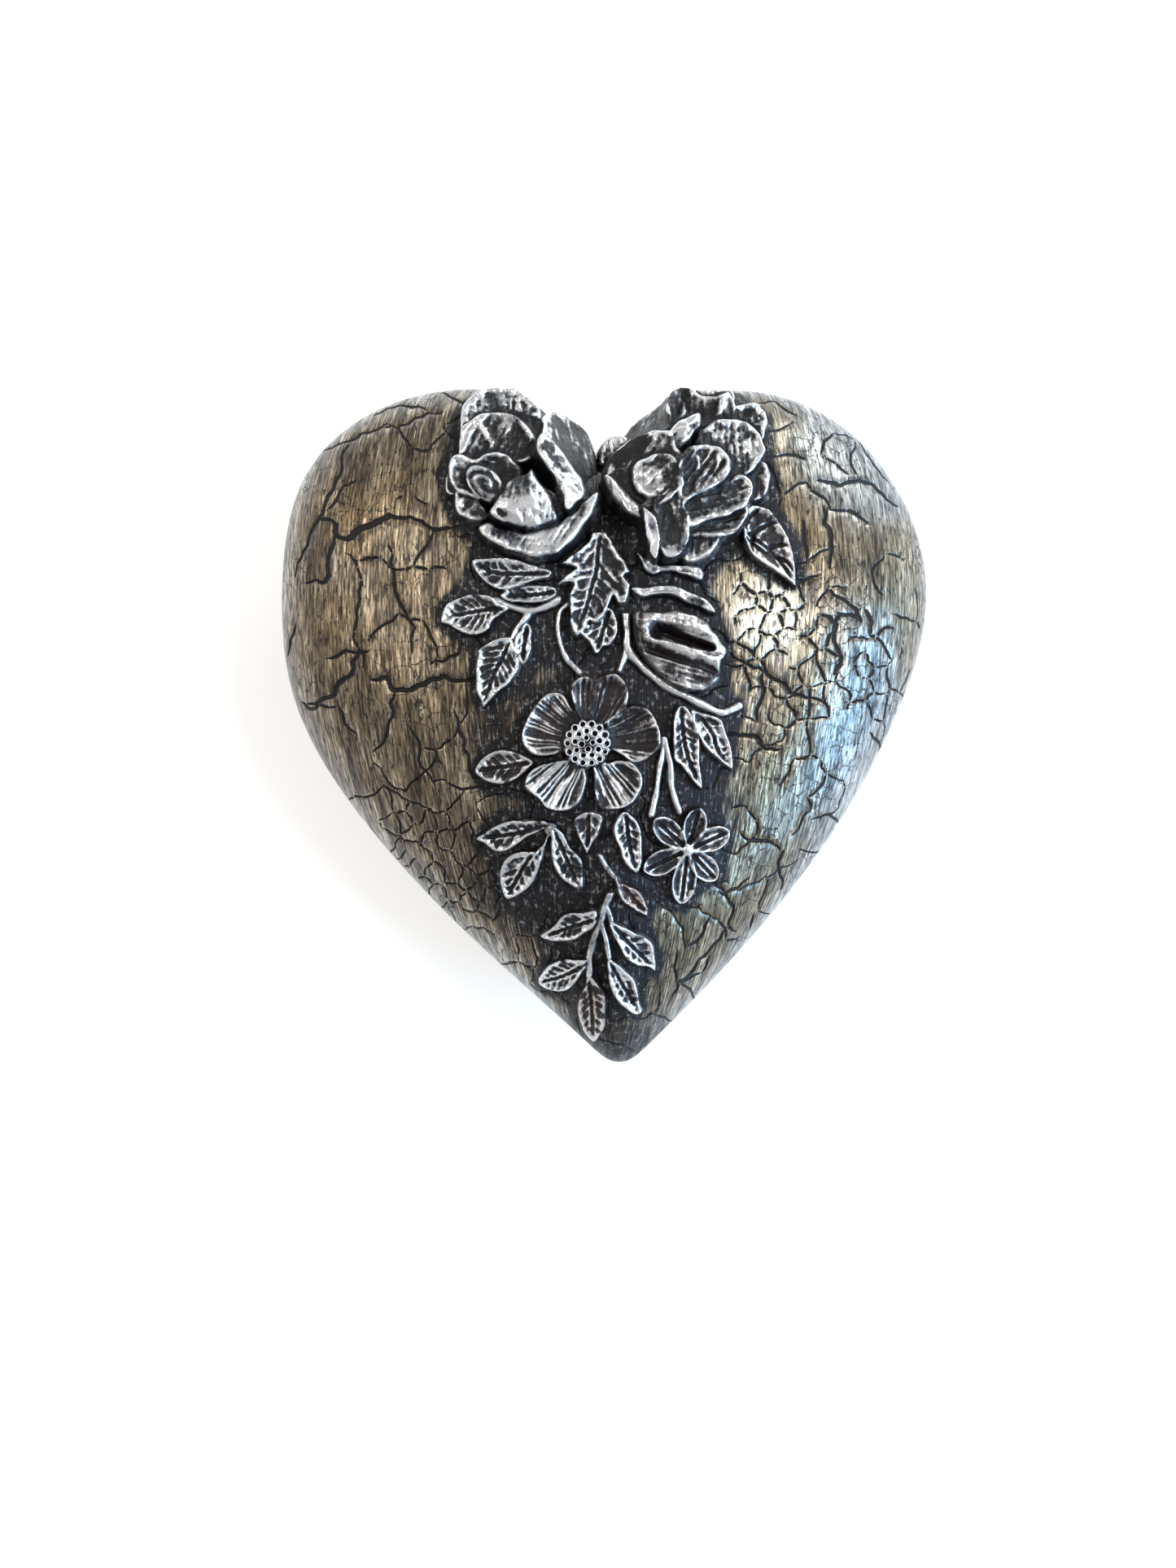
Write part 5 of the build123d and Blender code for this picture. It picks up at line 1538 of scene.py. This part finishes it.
sepal = Casting("wavy_calyx")
sepal.petal([(6, 35), (7, 33), (8, 31), (10, 30), (12, 30.5), (14, 31), (16.5, 30), (19, 29),
             (20, 29), (20.5, 30.5), (19.5, 32), (17, 32.4), (15.5, 32.2), (13, 32.6), (11, 32.6),
             (8.5, 33.6), (7, 35)], 2.0, upright=1.0, lip=0.4, lip_width=0.5, dip=0.3, pale=0.85,
            streaks=0.15, streak_turn=0, lumps=0.3)
sepal.finish()


# ---- Stems and their leaves at the left
# Thin stems run from the middle leaf to a spray of three leaves, and one curves down as an arc.

leaf = Casting("leaf_spray_left_lower")
leaf.stem([(-9.8, 25), (-12.5, 23.5), (-15.5, 22.6), (-18, 23), (-21, 24), (-23, 25.2)], 2.2, 1.8,
          0.95, taper=0.2)
leaf.stem([(-15.6, 22.8), (-17.6, 20.2), (-19, 18), (-20, 15)], 2.2, 1.7, 0.85, taper=0.3)
leaf.leaf([(-16.5, 20), (-18, 18.5), (-19, 16), (-18.5, 13.5), (-17.5, 11.5), (-16.5, 12),
           (-15.5, 14.5), (-15.5, 17), (-15.5, 19)],
          [(-16.3, 19.6), (-17, 15.6), (-17.2, 12)], 1.7, veins=4, pale=0.6, edge=0.6)
leaf.leaf([(-34.5, 20.5), (-34, 23), (-33, 24.5), (-30.5, 25.5), (-28.5, 26.2), (-26, 26.2),
           (-23.5, 25.6), (-22, 24), (-20.5, 23), (-22, 21.6), (-23.5, 20.5), (-24.5, 18.6),
           (-27, 17.5), (-29.5, 18), (-31.5, 19), (-33, 20)],
          [(-20.8, 23), (-24, 23), (-27.5, 22.5), (-33.4, 21.6)], 2.0, veins=8, pale=0.75,
          edge=1.1)
leaf.leaf([(-20, 17), (-22, 17), (-24.5, 16), (-26.5, 14.5), (-26.5, 13.5), (-27, 11.5),
           (-27, 8.5), (-27, 6), (-26, 4), (-25.5, 2.5), (-24.5, 3.5), (-23, 5), (-22, 6),
           (-20.5, 7), (-19, 9), (-18, 11), (-18.5, 13), (-19, 15)],
          [(-19.4, 17), (-20.5, 15), (-22, 12), (-23.5, 9), (-25.2, 3.6)], 2.1, veins=9,
          pale=0.75, edge=1.1)
leaf.finish()

stem = Casting("stem_left_arc")
stem.stem([(-8, 24), (-9.5, 22.5), (-10, 19.5), (-9.5, 16), (-8, 12.5), (-5.5, 9.8)], 1.7, 1.5,
          0.75)
stem.finish()


# ---- Long stem and folded leaf at the right
# A stem runs down from the rose past a leaf that is rolled into thick folds over a deep slit,
# and ends in a curl with one leaf hanging from it.

stem = Casting("stem_right_long")
stem.leaf([(17.5, 2), (19.5, 1.5), (21.5, 1), (24, 0), (25, -2.5), (26, -5), (26.5, -7.5),
           (26.5, -10.3), (24.5, -9), (22.5, -7.5), (20.5, -5.5), (19, -3)],
          [(18.8, 1.4), (22, -2.5), (23.5, -6.5), (26, -9.5)], 1.9, pale=0.65,
          blush=0.15, edge=0.9)
stem.stem([(4.4, 18), (3.9, 13.4), (2.8, 10.2)], 1.9, 1.4, 0.85, taper=0.2)
stem.stem([(4.0, 22.2), (4.2, 20), (4.5, 18), (4.5, 15), (7, 11.5), (10.5, 8.5), (14.5, 6),
           (18.5, 4), (22, 2.2), (24.5, 1.6), (27.8, 3)], 2.3, 1.7, 0.95)
stem.finish()

pod = Casting("folded_pod", 0.2)
pod.petal([(5, 27.2), (8, 27.6), (12, 28), (15, 27.5), (18, 26.5), (21, 25), (23, 22.5),
           (22, 21.8), (19.5, 23), (17, 24), (13.5, 25.8), (10.5, 25.8), (7.5, 25.2)], 2.3,
          upright=1.0, lip=0.3, dip=0.1, pale=0.60, streaks=0.2, streak_turn=0, lumps=0.2)
pod.petal([(6.5, 22.4), (9.5, 22), (13, 22.6), (17, 22), (20.5, 20.5), (23, 17), (25, 14),
           (24, 12), (23.5, 9), (21.5, 6.5), (18, 6), (13.5, 7), (10, 10), (7.5, 13),
           (6, 16.5), (5.5, 20)], 3.6, upright=1.0, lip=0.3, dip=-1.6, pale=0.0, blush=0.22,
          streaks=0.15, streak_turn=-15, shoulder=1.2)
pod.ridge([(6.8, 20.2), (10, 20.9), (14, 20.7), (17.8, 19.5), (21.0, 17.0), (23.6, 13.8)], 1.0, 1.7,
          1.0, blunt=0.3)
pod.ridge([(9.4, 16.6), (13, 15), (17, 13.7), (20.5, 12.6), (24, 11.0)], 1.2, 1.25, 1.0,
          blunt=0.3)
pod.ridge([(9.6, 21), (8.3, 19), (8.6, 17), (10.8, 15.6)], 0.8, 1.2, 0.9, blunt=0.3)
pod.groove([(10.6, 18.1), (12.4, 17.9), (15.5, 16.7), (18.5, 15.6), (21.8, 14.6)], 4.4, 1.30,
           taper=0.7)
pod.groove([(8.6, 14.6), (12.5, 12.9), (17, 11.6), (20.5, 10.6), (23.6, 9.2)], 0.9, 0.7)
for number in range(6):
    lower = 1.05 * number
    pod.ridge([(9.0 + 0.5 * number, 14.2 - lower), (13.5, 12.8 - lower), (18, 11.4 - lower),
               (22, 10.0 - 0.8 * lower)], 0.35, 0.24, 0.45)
for number in range(4):
    pod.ridge([(6.6 + 0.7 * number, 19.4), (7.2 + 0.7 * number, 15.6), (9 + 0.8 * number, 12)],
              0.25, 0.22, 0.5)
pod.finish()


# ---- Leaves and stems round the flowers
# Small cast leaves tucked under the big flower, and the forked stem that carries the small one.

leaf = Casting("leaf_beside_flower")
leaf.leaf([(15.2, 2.8), (14.1, 1), (13.8, -2.5), (13.9, -6), (14.3, -8.5), (15.5, -9.5),
           (17.5, -12), (20, -14.5), (20, -12), (19.5, -8.5), (19.5, -4.5), (19, -1),
           (17.5, 1.5), (16.5, 2.8)],
          [(15.7, 2.3), (16, -2.5), (17, -7.5), (19.5, -13.5)], 2.0, veins=9, pale=0.7,
          edge=0.9, blush=0.1)
leaf.finish()

stem = Casting("stem_fork")
stem.stem([(12, -3.6), (11.6, -7.5), (11, -11), (10.5, -15), (9.5, -19.8)], 1.9, 1.5, 0.85)
stem.stem([(12, -3.6), (13.4, -9), (13.7, -13), (14.2, -16), (15.5, -19.2)], 2.0, 1.6, 0.85)
stem.finish()

leaf = Casting("leaf_left_of_flower")
outline, midrib = blade((-15.0, -8.8), (-27.5, -10.6), 7.2, 0.55)
leaf.leaf(outline, midrib, 2.0, veins=7, pale=0.6, blush=0.2)
leaf.finish()

leaf = Casting("leaf_trio_left")
leaf.leaf([(-12.5, -21), (-17, -21), (-20, -21), (-23, -22), (-25.5, -23.5), (-27.5, -25),
           (-25.5, -26), (-23.5, -27.5), (-21, -27.5), (-18.5, -26), (-16.5, -24.5),
           (-13.5, -23)],
          [(-12.6, -22), (-18, -23.6), (-27, -24.9)], 2.1, veins=8, pale=0.7, edge=0.9)
leaf.leaf([(-12.2, -24.5), (-13.5, -26), (-15, -27.5), (-17.5, -27.5), (-19.5, -28),
           (-21.5, -29.5), (-22.5, -32), (-22.5, -34), (-22, -36.5), (-21, -38), (-18.5, -37),
           (-16, -35), (-14.5, -32.5), (-13.5, -29.5)],
          [(-12.6, -25), (-16.5, -29.5), (-21, -37.4)], 2.0, veins=8, pale=0.65, edge=1.1)
leaf.leaf([(-11, -22.5), (-9, -23.5), (-7.5, -26.5), (-5.5, -28.5), (-4.5, -31), (-4.5, -34),
           (-5.5, -35.5), (-7.5, -34.5), (-9.5, -33), (-11, -30.5), (-11.5, -27.5),
           (-11.5, -25)],
          [(-10.8, -23), (-8.5, -28.5), (-5.8, -35)], 2.0, veins=7, pale=0.75, edge=0.9)
knob = np.hypot(leaf.x + 11.5, leaf.y + 22.8)
leaf.lay(1.7 - knob, leaf.skin + 2.1 - 0.3 * knob ** 2, 0.6)
leaf.finish()

leaf = Casting("leaf_under_flower")
leaf.leaf([(-6.6, -20.5), (-6.3, -23), (-5.5, -25), (-4.5, -27), (-4, -28), (-3, -26),
           (-2, -24.5), (-1.2, -22.5), (-0.8, -20), (-3.6, -19)],
          [(-3.7, -19), (-3.7, -23.5), (-4, -27.6)], 1.9, veins=4, pale=0.6, edge=0.8, blush=0.2)
leaf.finish()

leaf = Casting("leaf_right_lower")
leaf.leaf([(3.5, -19), (2, -21), (1.5, -23), (2, -25), (3, -27), (3.5, -29), (5, -31),
           (6.5, -32), (7.5, -30), (7.5, -27), (7.5, -24.5), (7, -22), (5.5, -20)],
          [(4.2, -19.6), (4.8, -25.5), (6.3, -31.4)], 2.0, pale=0.65, edge=0.9)
leaf.finish()

leaf = Casting("leaf_drop")
leaf.stem([(-1.4, -27.9), (-0.6, -29.4), (0.7, -31.4), (2.4, -33.4)], 1.7, 1.4, 0.6)
leaf.leaf([(2, -32.5), (3.5, -34.2), (6, -35.2), (7.5, -36.5), (8.5, -38.5), (9.4, -41.3),
           (7, -40.5), (5.5, -39.5), (3.5, -38), (2.5, -36)],
          [(2.4, -33), (5.2, -36.8), (9, -40.9)], 2.0, veins=5, pale=0.6, blush=0.75, edge=0.8)
leaf.finish()


# ---- Sprig at the tip
# Five leaves on a forked stem, cast as one piece, that end near the point of the heart.

sprig = Casting("bottom_sprig")
sprig.leaf([(-2, -40), (-5, -40.5), (-7.5, -40.5), (-9.5, -41.5), (-11, -43.5), (-14, -46),
            (-11.5, -47), (-9, -47), (-6.5, -46.5), (-4.5, -45), (-2.5, -43.5)],
           [(-1.8, -41.8), (-6.8, -43.6), (-13.4, -46.2)], 2.0, veins=7)
sprig.leaf([(1, -42.5), (4, -43.5), (6.5, -45), (8, -45.5), (10, -47.5), (10.5, -50),
            (11, -53.5), (9, -52.5), (6.5, -52), (4, -50), (3, -48), (1.5, -45)],
           [(1.4, -43), (5.4, -47.6), (10.5, -52.8)], 2.0, veins=7, pale=0.6)
sprig.leaf([(-4, -51), (-6.5, -51), (-9, -51), (-12, -52.5), (-14, -55), (-15, -57),
            (-13.5, -58.5), (-11, -59), (-8.5, -58.5), (-6.5, -56.5), (-5, -54)],
           [(-4.2, -52), (-9, -55), (-14.4, -57.2)], 2.0, veins=7, pale=0.45)
sprig.leaf([(0.5, -50.5), (2.5, -51.5), (4.5, -53.5), (6, -55), (7, -58), (7.5, -61),
            (8, -63), (6.5, -63.5), (4.5, -62), (2.5, -60), (1, -57), (0.5, -54)],
           [(1, -51.4), (4, -57), (7.2, -62.6)], 2.0, pale=0.6)
sprig.leaf([(-3.5, -54.5), (-1.5, -56.5), (0, -59), (0, -63), (0, -66), (-1, -68.5),
            (-2.5, -71), (-4.5, -69), (-5.5, -66), (-6, -62.5), (-5.5, -59.5), (-4.5, -57)],
           [(-3.6, -55.6), (-2.9, -62), (-2.6, -70)], 2.1, veins=7, pale=0.30,
           blush=0.5, inner_pale=-0.25)
sprig.stem([(1.2, -36), (0, -38.5), (-1, -42), (-2, -44.5), (-3, -48), (-3.5, -51),
            (-3.5, -55.5)], 2.2, 1.9, 0.55)
sprig.stem([(0, -38.5), (1, -41.5), (1.2, -43)], 1.7, 1.7, 0.7)
sprig.stem([(-1, -42.5), (0, -46), (0.5, -49), (1, -51.5)], 1.7, 1.7, 0.7)
sprig.finish()


# ---- Black wash
# When the castings are on, thin black paint is washed round them and wiped off the open dome,
# so it stays darkest between the stems and fades out a few millimetres away. Broad dark patches
# at the tip and along the left side are painted shade.

wash = np.clip(soften(coverage, 1.6) * 1.3 + soften(coverage, 4.5) * 1.2, 0, 1.25)
lid_wash_and_shade = read_grid(wash, lid_places[:, 0], lid_places[:, 1])
patchy = patchwork(lid_x, lid_y, 6.0) * 0.5 + patchwork(lid_x, lid_y, 1.6, 3.6, shift=3) * 0.5
lid_wash_and_shade = lid_wash_and_shade * 1.25 - 0.62 * patchy
# Dark patches: those at the tip (0, -74), the lower left (-40, -38), the upper left (-55, 60) and
# the left edge (-64, 10) are painted shade; the others deepen the wash beside castings.
for *place, amount in ((0, -74, 24, 22, 0.62), (-40, -38, 24, 16, 0.30), (-55, 60, 24, 13, 0.26),
                       (-64, 10, 10, 30, 0.12), (30, -44, 12, 12, 0.15), (21, -16, 9, 14, 0.75),
                       (-24, 0, 7, 15, 0.65), (-14, -36, 15, 14, 0.85)):
    wash_and_shade_patch = amount * patch(lid_x, lid_y, *place) * (0.6 + 0.8 * patchy)
    lid_wash_and_shade = np.maximum(lid_wash_and_shade, wash_and_shade_patch)
set_mask(domed_lid, "wash_and_painted_shade", np.where(is_outer, np.clip(lid_wash_and_shade, 0, 1), inside_soot))


# ---- Table and light
# A plain white table in an even pale room: a broad sky-lit window low at the right, a smaller
# pane beside it, a skylight above them and a warm lamp at the left. The camera looks down.

half_table = 3.0
table_mesh = bpy.data.meshes.new("table")
table_mesh.from_pydata([(-half_table, -half_table, 0), (half_table, -half_table, 0),
                        (half_table, half_table, 0), (-half_table, half_table, 0)],
                       [], [(0, 1, 2, 3)])
table = bpy.data.objects.new("table", table_mesh)
bpy.context.scene.collection.objects.link(table)
white_table, tree, shader = new_finish("white_table")
path = add_node(tree, "ShaderNodeLightPath")
seen = maths(tree, "ADD", path.outputs["Is Camera Ray"], path.outputs["Is Glossy Ray"])
seen = maths(tree, "ADD", seen, path.outputs["Is Transmission Ray"], clamp=True)
feed(tree, shader, {"Base Color": (0.93, 0.925, 0.915, 1), "Roughness": 0.9,
                    "Emission Color": (1.0, 1.0, 1.0, 1),
                    "Emission Strength": maths(tree, "MULTIPLY", seen, 0.40)})
table.data.materials.append(white_table)


def soft_lamp(name, place, aim, width, depth, power, colour):
    """A rectangular area light that points at a place."""
    data = bpy.data.lights.new(name, "AREA")
    data.shape = "RECTANGLE"
    data.size = width
    data.size_y = depth
    data.energy = power
    data.color = colour
    lamp = bpy.data.objects.new(name, data)
    lamp.location = place
    lamp.rotation_euler = (Vector(aim) - Vector(place)).to_track_quat("-Z", "Y").to_euler()
    bpy.context.scene.collection.objects.link(lamp)


soft_lamp("window", (0.82, -0.20, 0.36), (0, 0, 0.04), 0.66, 0.30, 8.5, (0.30, 0.62, 1.0))
soft_lamp("side_pane", (0.52, 0.70, 0.20), (0, 0, 0.04), 0.46, 0.26, 3.2, (0.93, 1.0, 0.97))
soft_lamp("skylight", (0.62, 0.14, 0.86), (0, 0, 0.03), 0.40, 0.32, 5.0, (0.96, 0.98, 1.0))
soft_lamp("room", (-0.65, 0.35, 0.85), (0, 0, 0.03), 0.6, 0.6, 3.0, (1.0, 0.95, 0.88))
world = bpy.data.worlds.new("pale_room")
world.use_nodes = True
bpy.context.scene.world = world
background = world.node_tree.nodes["Background"]
background.inputs["Strength"].default_value = 0.48
background.inputs["Color"].default_value = (1.0, 0.995, 0.985, 1)

camera_data = bpy.data.cameras.new("camera")
camera_data.sensor_fit = "HORIZONTAL"
camera_data.sensor_width = 36.0
camera_data.lens = 36.05
camera = bpy.data.objects.new("camera", camera_data)
camera_rise = 276.0
camera.location = (-0.0036, -0.0131, 0.001 * (rim_height + camera_rise))
bpy.context.scene.collection.objects.link(camera)
bpy.context.scene.camera = camera
bpy.context.scene.view_settings.view_transform = "Standard"
